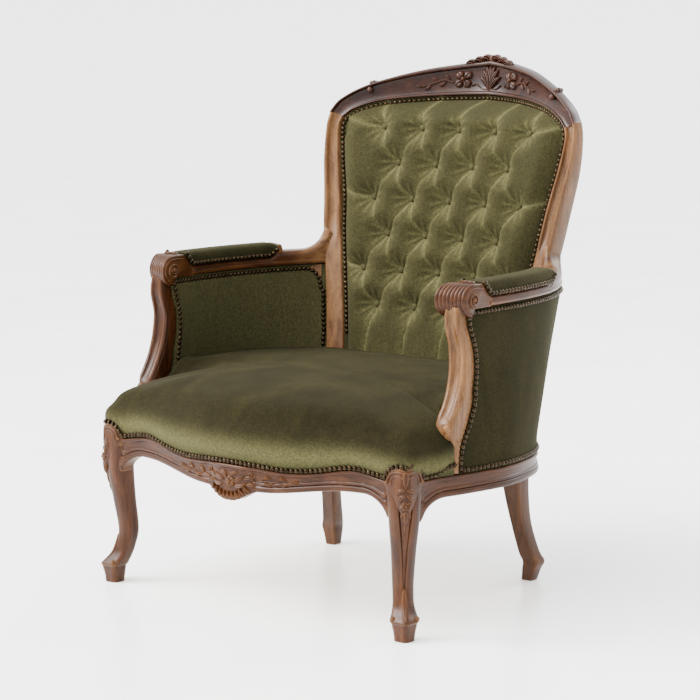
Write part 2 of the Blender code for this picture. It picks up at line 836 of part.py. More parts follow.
def armrest_rings(grow=0.0):
    length = arm_line(81)[1]
    step = ARM_STEP_RUN
    runs = [share * ARM_ROLL_RADIUS for share in (0.02, 0.2, 0.55, 1.0)]
    runs += [ARM_ROLL_RADIUS + ARM_UNDER_NECK_RUN, 1.5 * ARM_ROLL_RADIUS]
    runs += [mix(ARM_ROLL_RADIUS, ARM_PAD_START, 0.7), ARM_PAD_START - step, ARM_PAD_START + step]
    runs += [mix(ARM_PAD_START, ARM_PAD_END, k / 7) for k in range(1, 7)]
    runs += [ARM_PAD_END - step, ARM_PAD_END + step]
    runs += [mix(ARM_PAD_END, length - ARM_FLARE_SPAN, k / 2) for k in (1, 2)]
    runs += [length - ARM_FLARE_SPAN * share for share in (0.80, 0.65, 0.52, 0.40, 0.28, 0.0)]
    rings = []
    for run in runs:
        p, n = arm_at(run)
        low = arm_underside(run) - grow
        high = arm_top(run) + grow
        half = arm_half_width(run) + grow
        radius = min(ARM_EDGE_RADIUS, 0.4 * (high - low))
        middle = (low + high) / 2
        ring = []
        for q in rounded_ring(0.0, middle, half, (high - low) / 2, radius, 0.0):
            x, y = p.x + n.x * q.x, p.y + n.y * q.x
            ring.append(Vector((x, y, q.y + arm_flare(x, y) if q.y > middle else q.y)))
        rings.append(ring)
    return rings


# Soft pieces and their foundations


def seat_place(angle, reach):
    return Vector((reach * math.cos(angle), SEAT_CENTRE_Y + reach * math.sin(angle)))


def moved_out(outline, distance):
    """The outline's points moved along the rays from the seat's middle, by one distance or one each."""
    distances = distance if isinstance(distance, list) else [distance] * len(outline)
    centre = seat_place(0.0, 0.0)
    return [p + (p - centre).normalized() * d for p, d in zip(outline, distances)]


def seat_angles(outline):
    return [math.atan2(p[1] - SEAT_CENTRE_Y, p[0]) for p in outline]


def at_angles(outline, angles):
    """The outline's points where rays from the seat's middle, at the angles, cross it."""
    found = []
    for angle in angles:
        d = Vector((math.cos(angle), math.sin(angle)))
        best = None
        for a, b in zip(outline, outline[1:] + outline[:1]):
            ax, ay = a[0], a[1] - SEAT_CENTRE_Y
            bx, by = b[0], b[1] - SEAT_CENTRE_Y
            bottom = d.x * (by - ay) - d.y * (bx - ax)
            if abs(bottom) < 1e-12:
                continue
            reach = (ax * (by - ay) - ay * (bx - ax)) / bottom
            share = (ax * d.y - ay * d.x) / bottom
            if reach > 0 and -1e-6 <= share <= 1 + 1e-6 and (best is None or reach > best):
                best = reach
        found.append(seat_place(angle, best))
    return found


def mirrored_outline(half):
    """Closed outline from its +X half, which runs from the front middle to the rear middle."""
    first, *inner, last = half
    return [first, *inner, last, *[Vector((-p.x, p.y)) for p in reversed(inner)]]


def front_outline():
    """Plan of the front rail's face and the front corner, from the middle to the side rail."""
    end = HALF_WIDTH - FRONT_END_INSET
    front = [Vector((x, front_y(x))) for x in (end * i / 7 for i in range(8))]
    side = side_line(16)[0]
    corner = Vector((side[0].x, front[-1].y))
    return front + [front[-1].lerp(corner, 0.75).lerp(side[0], 0.25), side[0]]


def frame_outline():
    """Plan of the seat frame's outer faces."""
    side = side_line(16)[0]
    places = [(HALF_WIDTH - REAR_RAIL_INSET) * i / 4 for i in (3, 2, 1, 0)]
    rear = [Vector((x, back_front(x, 0.0) + REAR_RAIL_THICKNESS)) for x in places]
    return mirrored_outline(front_outline() + side[1:-1] + rear)


def inset(outline, depth):
    """Closed outline moved inwards by a depth, or outwards where it is negative."""
    moved = []
    count = len(outline)
    for i, p in enumerate(outline):
        d = outline[(i + 1) % count] - outline[i - 1]
        n = Vector((d.y, -d.x)).normalized()
        moved.append(p - n * depth)
    return moved


def scaled(outline, share):
    return [Vector((p.x * share, SEAT_CENTRE_Y + (p.y - SEAT_CENTRE_Y) * share)) for p in outline]


def evened_out(outline, passes):
    """The outline with its reach from the seat's middle averaged with its neighbours', pass by pass."""
    centre = seat_place(0.0, 0.0)
    reach = [(p - centre).length for p in outline]
    for _ in range(passes):
        reach = [(a + 2 * b + c) / 4 for a, b, c in zip(reach[-1:] + reach, reach, reach[1:] + reach[:1])]
    return moved_out(outline, [r - (p - centre).length for r, p in zip(reach, outline)])


def lifted(outline, z):
    heights = z if isinstance(z, list) else [z] * len(outline)
    return [Vector((p.x, p.y, h)) for p, h in zip(outline, heights)]


def seat_outline():
    """Plan of the seat cushion: over the front rail, round the arm posts and along the inside arms."""
    side = side_line(61)[0]
    front = front_outline()
    ear = [at_y(side, mix(front[-1].y, SEAT_EAR_Y, k / 3))[0] for k in (1, 2, 3)]
    room = INSIDE_PAD_FACE + INSIDE_PAD_BULGE + SEAT_GAP
    walls = [side_wall(SEAT_WALL_Z, SEAT_WALL_END * k / 5) for k in range(6)]
    inside = [p - n * room for p, n in walls]
    turn = seat_angles(ear)[-1]
    step = seat_place(turn + SEAT_EAR_TURN, (ear[-1] - seat_place(0.0, 0.0)).length - SEAT_EAR_STEP)
    turn += 2 * SEAT_EAR_TURN
    corner = seat_place(turn, inside[0].x / math.cos(turn))
    reach = HALF_WIDTH - SEAT_REAR_INSET
    rear = [
        Vector((reach * share, SEAT_REAR_Y + SEAT_REAR_BOW * (1 - share**2)))
        for share in (1.0, 0.75, 0.5, 0.25, 0.0)
    ]
    return mirrored_outline(front + ear + [step, corner] + inside + rear)


def seat_front_share(outline, spread):
    """1 where the cushion laps over the front of the frame, 0 beside the arms and at the back."""
    run = SEAT_EAR_RUN * spread
    return [smooth((SEAT_EAR_Y + run - p.y) / run) for p in outline]


def seat_corner_share(outline):
    return [smooth(1 - (HALF_WIDTH - abs(p.x)) / SEAT_CORNER_RUN) for p in outline]


def hessian_plans(outline):
    """Plans of the hessian: border on the rails, start of its rise, and plateau on the springs."""
    angles = seat_angles(outline)
    border = at_angles(inset(frame_outline(), HESSIAN_INSET), angles)
    inside = moved_out(outline, -2 * SEAT_UNDER_INSET)
    centre = seat_place(0.0, 0.0)
    pairs = zip(scaled(border, HESSIAN_FLAT_SHARE), inside)
    rise = [min(pair, key=lambda p: (p - centre).length) for pair in pairs]
    return border, rise, scaled(border, HESSIAN_PLATEAU_SHARE)


def seat_cushion_mesh():
    outline = seat_outline()
    corners = seat_corner_share(outline)
    _, rise, plateau = hessian_plans(outline)
    flat = HESSIAN_THICKNESS + 2 * CLEARANCE
    over_rail = outline[0].y + FRONT_BOW
    rebate = at_angles(inset(frame_outline(), RAIL_REBATE - 2 * CLEARANCE), seat_angles(outline))
    inner = moved_out(outline, -SEAT_UNDER_INSET)
    edge = []
    under = []
    for k, p in enumerate(outline):
        laps = p.y < SEAT_EAR_Y + CLEARANCE
        nail = front_nail_line(p.x) if p.y < over_rail else NAIL_LINE
        edge.append((nail if laps else flat) + SEAT_GAP)
        under.append(rebate[k] if laps else inner[k])

    def heights(front, corner, beside, spread=1.0):
        shares = zip(seat_front_share(outline, spread), corners)
        return [SEAT_CROWN * mix(beside, mix(front, corner, c), f) for f, c in shares]

    nose = [mix(SEAT_NOSE, SEAT_CORNER_NOSE, c) for c in corners]
    swell = [mix(-SEAT_GAP, SEAT_BULGE, smooth((SEAT_EAR_Y - p.y) / SEAT_EAR_RUN)) for p in outline]
    swollen = moved_out(outline, swell)
    top = [
        lifted(moved_out(outline, -2 * SEAT_GAP), edge),
        lifted(swollen, [mix(e, n, 0.45) for e, n in zip(edge, nose)]),
        lifted(swollen, [mix(e, n, 0.90) for e, n in zip(edge, nose)]),
        lifted(moved_out(outline, -SEAT_ROUNDING), heights(SEAT_RIM_FRONT, SEAT_RIM_CORNER, SEAT_RIM_SIDE)),
    ]
    for share, *levels, passes in SEAT_RINGS:
        top.append(lifted(scaled(evened_out(outline, passes), share), heights(*levels)))
    bottom = [
        lifted(under, edge),
        lifted(under, flat),
        lifted(rise, flat),
        lifted(plateau, HESSIAN_PLATEAU + CLEARANCE),
    ]
    return pillow(top, bottom)


def seat_hessian_mesh():
    plans = hessian_plans(seat_outline())
    heights = (CLEARANCE, CLEARANCE, HESSIAN_PLATEAU - HESSIAN_THICKNESS)
    bottom = [lifted(plan, z) for plan, z in zip(plans, heights)]
    top = [lifted(plan, z + HESSIAN_THICKNESS) for plan, z in zip(plans, heights)]
    return pillow(top, bottom)


def web_z(x, y):
    """Middle height of the seat webbing: tacked under the rails, pressed flat under the springs."""
    front = smooth((y - SPRING_ROWS_Y[0] + SPRING_RADIUS + WEB_DROP_RUN) / WEB_DROP_RUN)
    rear = smooth((SPRING_ROWS_Y[-1] + SPRING_RADIUS + WEB_DROP_RUN - y) / WEB_DROP_RUN)
    side = smooth((SPRING_ROWS_X[-1] + SPRING_RADIUS + WEB_DROP_RUN - abs(x)) / WEB_DROP_RUN)
    return RAIL_LEDGE - CLEARANCE - WEB_THICKNESS / 2 - WEB_SAG * front * rear * side


def strap_rings(place, run_axis, crossings, start, end, first_over):
    """One woven strap: place is its fixed coordinate, and it runs from start to end."""
    room = SPRING_RADIUS + 2 * SPRING_WIRE
    stops = [(start, 0.0), (start + WEB_TACKED, 0.0), (crossings[0] - room, 0.0)]
    for k, c in enumerate(crossings):
        lift = WEB_WEAVE if (k + first_over) % 2 == 0 else -WEB_WEAVE
        stops += [(c - WEB_WIDTH * 0.56, lift), (c + WEB_WIDTH * 0.56, lift)]
    stops += [(crossings[-1] + room, 0.0), (end - WEB_TACKED, 0.0), (end, 0.0)]
    rings = []
    for along, lift in stops:
        ring = []
        for across, up in ((-1, -1), (1, -1), (1, 1), (-1, 1)):
            side = place + across * WEB_WIDTH / 2
            x, y = (side, along) if run_axis == "y" else (along, side)
            ring.append(Vector((x, y, web_z(x, y) + lift + up * WEB_THICKNESS / 2)))
        rings.append(ring)
    return rings


def long_strap_rings(i):
    x = SPRING_ROWS_X[i]
    start = front_y(x) + RAIL_THICKNESS - WEB_LAP
    end = back_front(x, RAIL_LEDGE) + WEB_LAP
    return strap_rings(x, "y", SPRING_ROWS_Y, start, end, i)


def cross_strap_rings(i):
    y = SPRING_ROWS_Y[i]
    reaches = []
    for edge in (y - WEB_WIDTH / 2, y + WEB_WIDTH / 2):
        p, n = at_y(side_line(61)[0], edge)
        reaches.append(p.x - n.x * RAIL_THICKNESS + WEB_LAP)
    reach = min(reaches)
    return strap_rings(y, "x", SPRING_ROWS_X, -reach, reach, i + 1)


def spring_rings(x, y):
    """Hourglass coil from the webbing to the hessian."""
    bottom = web_z(x, y) + WEB_WEAVE + WEB_THICKNESS / 2 + CLEARANCE + SPRING_WIRE
    top = HESSIAN_PLATEAU - HESSIAN_THICKNESS - CLEARANCE - SPRING_WIRE
    steps = SPRING_TURNS * SPRING_STEPS
    centres = []
    for i in range(steps + 1):
        share = i / steps
        angle = 2 * math.pi * i / SPRING_STEPS
        radius = SPRING_RADIUS * mix(SPRING_WAIST, 1.0, abs(2 * share - 1) ** 1.4)
        climb = min(1.0, max(0.0, (share - SPRING_END_SHARE) / (1 - 2 * SPRING_END_SHARE)))
        z = mix(bottom, top, mix(climb, smooth(climb), 0.4))
        centres.append(Vector((x + radius * math.cos(angle), y + radius * math.sin(angle), z)))
    rings = []
    for i, c in enumerate(centres):
        run = (centres[min(i + 1, steps)] - centres[max(i - 1, 0)]).normalized()
        out = Vector((c.x - x, c.y - y, 0.0)).normalized()
        up = out.cross(run).normalized()
        rings.append([c + SPRING_WIRE * d for d in (out, up, -out, -up)])
    return rings, centres


def least_gap(centres):
    """Smallest gap between turns of one coil."""
    apart = SPRING_STEPS * 3 // 4
    pairs = [(a - b).length for i, a in enumerate(centres) for b in centres[i + apart :]]
    return min(pairs) - 2 * SPRING_WIRE


def dust_cover_mesh():
    border = at_angles(inset(frame_outline(), DUST_INSET), seat_angles(seat_outline())[::2])
    level = RAIL_LEDGE - WEB_THICKNESS - 5 * CLEARANCE
    plans = [scaled(border, share) for share in (1.0, 0.88, 0.60)]
    heights = [level - DUST_SAG * sag for sag in (0.0, 0.48, 0.90)]
    top = [lifted(plan, z) for plan, z in zip(plans, heights)]
    bottom = [lifted(plan, z - HESSIAN_THICKNESS) for plan, z in zip(plans, heights)]
    return pillow(top, bottom)


@functools.cache
def buttons():
    """Row, place across and height of each button: long and short rows in turn."""
    found = []
    for row in range(TUFT_ROWS):
        count = TUFT_COLUMNS - row % 2
        places = [(k - (count - 1) / 2) * TUFT_PITCH for k in range(count)]
        found += [(row, x, TUFT_TOP_Z - row * TUFT_ROW_PITCH) for x in places]
    return found


@functools.cache
def folds():
    """Folds of the buttoned back as pairs of places: between buttons, and out to the borders."""
    outer = (TUFT_COLUMNS - 1) / 2 * TUFT_PITCH
    found = []
    for row, x, z in buttons():
        found += [((x, z), (a, b)) for low, a, b in buttons() if low == row + 1 and abs(a - x) < TUFT_PITCH]
        if row == 0:
            found.append(((x, z), (FOLD_SPREAD * x, z + 2 * TUFT_ROW_PITCH)))
        if row == TUFT_ROWS - 1:
            found.append(((x, z), (x, z - 3 * TUFT_ROW_PITCH)))
        if abs(x) > outer - TUFT_PITCH / 4:
            found.append(((x, z), (x + math.copysign(2 * TUFT_PITCH, x), z + TUFT_ROW_PITCH / 2)))
    return found


def fold_distance(x, z):
    near = []
    for (ax, az), (bx, bz) in folds():
        dx, dz = bx - ax, bz - az
        along = min(1.0, max(0.0, ((x - ax) * dx + (z - az) * dz) / (dx * dx + dz * dz)))
        near.append(math.hypot(x - ax - along * dx, z - az - along * dz))
    return min(near)


def tuft_depth(x, z):
    """Forward swell of the buttoned back: round pleats between the folds, sunk at the buttons."""
    full = min(1.0, fold_distance(x, z) / TUFT_FULL)
    swell = TUFT_HEIGHT * (1 - (1 - full) ** TUFT_ROUND) ** TUFT_SWELL
    swell *= mix(TUFT_TUCK, 1.0, smooth((z - LOWER_RAIL_TOP) / TUFT_TUCK_RUN))
    near = min((x - a) ** 2 + (z - b) ** 2 for _, a, b in buttons())
    return swell - TUFT_DIMPLE * math.exp(-near / TUFT_DIMPLE_RADIUS**2)


def pad_front(x, z, edge):
    """Y of the buttoned back's front; edge is the distance to the nearest nailed border."""
    plane = PAD_Y + PAD_LEAN * (z - PAD_Z) - PAD_CURVE * x * x
    rolled = smooth(edge / PAD_EDGE) ** 0.6
    return mix(back_front(x, z) + PAD_RIM, plane - tuft_depth(x, z), rolled)


def pad_across(c, z, bottom):
    """Place across of the cushion's column c: in step with the buttons, then out to the frame."""
    inner = PAD_DIVISIONS * (TUFT_COLUMNS - 1)
    cell = TUFT_PITCH / (2 * PAD_DIVISIONS)
    half = back_inner_x(z) - PAD_GAP
    x = min(abs(c), inner) * cell
    if abs(c) > inner:
        x = mix(x, half, (abs(c) - inner) / PAD_BORDER_CELLS)
    even = half * abs(c) / (inner + PAD_BORDER_CELLS)
    last = TUFT_TOP_Z - (TUFT_ROWS - 1) * TUFT_ROW_PITCH
    return math.copysign(mix(x, even, smooth((last - z) / (last - bottom))), c)


def pad_grid(bottom):
    """Rows of places over the back's opening: x, z and the distance to the nearest nailed border."""
    last = TUFT_TOP_Z - (TUFT_ROWS - 1) * TUFT_ROW_PITCH
    between = (TUFT_ROWS - 1) * PAD_DIVISIONS
    levels = [mix(bottom, last, k / PAD_LOWER_CELLS) for k in range(PAD_LOWER_CELLS)]
    levels += [mix(last, TUFT_TOP_Z, k / between) for k in range(between)]
    rises = [0.0] * len(levels) + [k / PAD_UPPER_CELLS for k in range(PAD_UPPER_CELLS + 1)]
    levels += [TUFT_TOP_Z] * (PAD_UPPER_CELLS + 1)
    reach = PAD_DIVISIONS * (TUFT_COLUMNS - 1) + PAD_BORDER_CELLS
    rows = []
    for level, rise in zip(levels, rises):
        row = []
        for c in range(-reach, reach + 1):
            ceiling = back_inner_top(pad_across(c, level, bottom)) - PAD_GAP
            z = mix(level, ceiling, rise)
            x = pad_across(c, z, bottom)
            row.append((x, z, min(back_inner_x(z) - PAD_GAP - abs(x), ceiling - z)))
        rows.append(row)
    return rows


def sheet_places(rows):
    """The places of the grid that the plain sheets behind the cushion use."""
    return [row[::SHEET_COLUMN_STEP] for row in rows[::SHEET_ROW_STEP]]


def stitch(bm, fine, coarse):
    """Triangles between an edge of many points and an edge of fewer points beside it."""
    step = (len(fine) - 1) // (len(coarse) - 1)
    for k, (a, b) in enumerate(zip(coarse, coarse[1:])):
        near = fine[step * k : step * (k + 1) + 1]
        for f0, f1 in zip(near, near[1:]):
            bm.faces.new((a, f0, f1))
        bm.faces.new((a, near[-1], b))


def back_cushion_mesh():
    """Buttoned cushion; each cell of its front is divided along the fold that crosses it."""
    bm = bmesh.new()
    rows = pad_grid(LOWER_RAIL_TOP + CLEARANCE)
    front = [[bm.verts.new((x, pad_front(x, z, edge), z)) for x, z, edge in row] for row in rows]
    rear = [
        [bm.verts.new((x, back_front(x, z) + PAD_BACK, z)) for x, z, _ in row] for row in sheet_places(rows)
    ]
    for r in range(len(rows) - 1):
        for c in range(len(rows[0]) - 1):
            cells = ((r, c), (r, c + 1), (r + 1, c + 1), (r + 1, c))
            corners = [front[i][j] for i, j in cells]
            middle = [sum(rows[i][j][k] for i, j in cells) / 4 for k in range(3)]
            y = pad_front(*middle)
            one = abs((corners[0].co.y + corners[2].co.y) / 2 - y)
            other = abs((corners[1].co.y + corners[3].co.y) / 2 - y)
            k = 0 if one < other else 1
            bm.faces.new((corners[k], corners[k + 1], corners[k + 2]))
            bm.faces.new((corners[k], corners[k + 2], corners[(k + 3) % 4]))
    for low, high in zip(rear, rear[1:]):
        for c in range(len(low) - 1):
            bm.faces.new((low[c], low[c + 1], high[c + 1], high[c]))
    for k in (0, -1):
        stitch(bm, front[k], rear[k])
        stitch(bm, [row[k] for row in front], [row[k] for row in rear])
    return bm


def back_sheet_mesh(depth, thickness, bottom):
    """Thin sheet that fills the back's opening from a bottom, a depth behind the frame's front face."""
    bm = bmesh.new()
    places = sheet_places(pad_grid(bottom))
    layers = []
    for behind in (depth, depth + thickness):
        grid = [[bm.verts.new((x, back_front(x, z) + behind, z)) for x, z, _ in row] for row in places]
        layers.append(grid)
    for grid in layers:
        for low, high in zip(grid, grid[1:]):
            for c in range(len(low) - 1):
                bm.faces.new((low[c], low[c + 1], high[c + 1], high[c]))
    rims = [
        [g[0] for g in layers],
        [g[-1] for g in layers],
        [[row[0] for row in g] for g in layers],
        [[row[-1] for row in g] for g in layers],
    ]
    for a, b in rims:
        for k in range(len(a) - 1):
            bm.faces.new((a[k], a[k + 1], b[k + 1], b[k]))
    return bm


def back_strap_rings(x):
    """Upright strap of the back, from the lower rail to the crest, behind the hessian."""
    depth = PAD_BACK + HESSIAN_THICKNESS + BACK_WEB_GAP
    half = WEB_WIDTH / 2
    top = min(back_inner_top(x - half), back_inner_top(x + half)) - CLEARANCE
    section = [(-half, 0.0), (0.0, 0.0), (half, 0.0)]
    section += [(across, WEB_THICKNESS) for across, _ in reversed(section)]
    rings = []
    for k in range(BACK_WEB_STEPS + 1):
        z = mix(LOWER_RAIL_TOP + CLEARANCE, top, k / BACK_WEB_STEPS)
        rings.append([Vector((x + a, back_front(x + a, z) + depth + b, z)) for a, b in section])
    return rings


def side_wall(z, share):
    """Middle of the side's wall and its outward normal at a height, from the arm post's rear to the stile."""
    side = side_line(41)[0]
    arm = arm_line(41)[0]
    start = post_rear(z) + SIDE_WALL_GAP
    lower, n = at_y(side, mix(start, side[-1].y, share))
    upper, m = at_y(arm, mix(start, arm[-1].y, share))
    up = wall_share(z)
    return (lower - n * SIDE_WALL_INSET).lerp(upper, up), n.lerp(m, up).normalized()


def wall_share(z):
    return min(1.0, max(0.0, z / ARM_UNDERSIDE))


def wall_rings(section, back=0.0, taper=0.0, grow=0.0):
    """Rings along the side's wall from pairs of offset to the outside and height.

    What stands off from the back offset thins towards the stile by the taper. The first ring butts on
    the arm post's rear.
    """
    rings = []
    for i in range(PANEL_STATIONS):
        share = i / (PANEL_STATIONS - 1)
        thin = 1 - taper * smooth(2.5 * share - 1.5)
        ring = []
        for out, z in section:
            p, n = side_wall(z, share)
            place = p + n * mix(back, out, thin)
            if i == 0:
                place.y = post_rear(z) + SIDE_WALL_GAP - grow
            ring.append(Vector((*place, z)))
        rings.append(ring)
    return rings


def inside_pad_rings(grow=0.0):
    bottom = INSIDE_PAD_BOTTOM - grow
    top = ARM_UNDERSIDE - 2 * CLEARANCE + grow
    back = -STUFFING_RAIL_HALF - 2 * CLEARANCE + grow
    steps = PANEL_LEVELS - 1
    section = [(back, mix(bottom, top, k / steps)) for k in range(PANEL_LEVELS)]
    for k in range(PANEL_LEVELS):
        face = INSIDE_PAD_FACE + INSIDE_PAD_BULGE * math.sin(math.pi * k / steps) ** 0.6 + grow
        edge = INSIDE_PAD_EDGE if k in (0, steps) else 0.0
        section.append((edge - face, mix(top, bottom, k / steps)))
    return wall_rings(section, back, INSIDE_PAD_TAPER, grow)


def outside_panel_rings():
    low = NAIL_LINE + SEAT_GAP
    top = ARM_UNDERSIDE - 2 * CLEARANCE
    at_rail = SIDE_WALL_INSET - RAIL_REBATE + 4 * CLEARANCE + OUTSIDE_PANEL_THICKNESS
    outer = []
    levels = [mix(OUTSIDE_PANEL_THICKNESS, top, k / (PANEL_LEVELS - 1)) for k in range(PANEL_LEVELS)]
    for z in [low] + levels:
        up = wall_share(z)
        out = mix(at_rail, OUTSIDE_PANEL_FACE, up) + OUTSIDE_PANEL_BULGE * math.sin(math.pi * up)
        outer.append((out, z))
    inner = [(out - OUTSIDE_PANEL_THICKNESS, z) for out, z in reversed(outer)]
    return wall_rings(outer + inner)


def stuffing_rail_rings():
    half = STUFFING_RAIL_HALF
    low, high = STUFFING_RAIL_BOTTOM, STUFFING_RAIL_BOTTOM + STUFFING_RAIL_HEIGHT
    return wall_rings([(-half, low), (half, low), (half, high), (-half, high)])


def arm_pad_rings():
    low = ARM_UNDERSIDE + ARM_SADDLE_RISE + CLEARANCE
    gap = ARM_STEP_RUN + CLEARANCE
    count = 15
    rings = []
    for k in range(count + 1):
        run = mix(ARM_PAD_START + gap, ARM_PAD_END - gap, k / count)
        p, n = arm_at(run)
        end = min(1.0, min(k, count - k) / 2.5)
        crown = ARM_PAD_CROWN * mix(0.62, 1.0, math.sin(end * math.pi / 2))
        half = arm_half_width(run) + ARM_PAD_OVERHANG
        right = [(half, 0.0), (half, 0.45), (half * 0.82, 0.80), (half * 0.40, 1.0)]
        section = right + [(-out, up) for out, up in reversed(right)]
        rings.append([Vector((p.x + n.x * o, p.y + n.y * o, low + crown * up)) for o, up in section])
    return rings


def block_rings(corners, y_from):
    plan = [(x, y + y_from) for x, y in outward(corners, 0)]
    return [[Vector((x, y, z)) for x, y in plan] for z in (BLOCK_LOW, BLOCK_HIGH)]


# Assembly


def frame_joints(chair, wood, name, side):
    """Tenons and mortises of one side of the frame."""
    leg, stile = wood[f"front_leg_{name}"], wood[f"rear_leg_stile_{name}"]
    rail, post = wood[f"side_seat_rail_{name}"], wood[f"arm_post_{name}"]
    arm = wood[f"armrest_{name}"]
    up = (0, 0, 1)

    leg_x, leg_y = leg_centre(LEG_STATIONS[-1][1])
    leg_half = LEG_STATIONS[-1][2] / 2
    x = leg_x - leg_half
    at = (side * x, front_y(x) + RAIL_THICKNESS / 2, -FRAME_TENON_DROP)
    joint(chair, wood["front_seat_rail"], leg, at, (side, 0, 0), up)
    y = leg_y + leg_half
    p, n = at_y(side_line(61)[0], y)
    at = (side * (p.x - n.x * RAIL_THICKNESS / 2), y, -FRAME_TENON_DROP)
    joint(chair, rail, leg, at, (0, -1, 0), up)

    x, y = outward([SIDE_REAR_SHOULDER], 0)[0]
    joint(chair, rail, stile, (side * x, y, -REAR_TENON_DROP), (-side, 0.4, 0), up)
    x = HALF_WIDTH - STILE_SHOULDER_INSET
    at = (side * x, back_front(x, REAR_RAIL_TENON_Z) + REAR_RAIL_THICKNESS / 2, REAR_RAIL_TENON_Z)
    joint(chair, wood["rear_seat_rail"], stile, at, (side, 0, 0), up)
    z = (LOWER_RAIL_BOTTOM + LOWER_RAIL_TOP) / 2
    y = back_front(x, z) + LOWER_RAIL_SET_BACK + LOWER_RAIL_THICKNESS / 2
    joint(chair, wood["lower_back_rail"], stile, (side * x, y, z), (side, 0, 0), up)

    share, x, y, _, _ = post_row(0.0)
    at = (side * x, y, post_z(share))
    joint(chair, post, rail, at, (0, 0, -1), (0, 1, 0), width=POST_TENON_WIDTH)
    share, x, y, _, _ = post_row(1.0)
    at = (side * x, y, ARM_UNDERSIDE + ARM_ROLL_RISE - ARM_ROLL_RADIUS)
    joint(chair, post, arm, at, (0, 0, 1), (0, 1, 0))

    p, n = arm_at(arm_line(81)[1] - ARM_TENON_RUN)
    at = (side * p.x, p.y, ARM_UNDERSIDE + ARM_TENON_RISE)
    joint(chair, arm, stile, at, (-side * n.y, n.x, 0), up)
    xi, zi, xo, zo = crest_rows(2)[0]
    x, z = (xi + xo) / 2, (zi + zo) / 2
    at = (side * x, back_front(x, z) + FRAME_DEPTH / 2, z)
    joint(chair, stile, wood["crest_rail"], at, (side * (zi - zo), 0, xo - xi), (0, 1, 0))


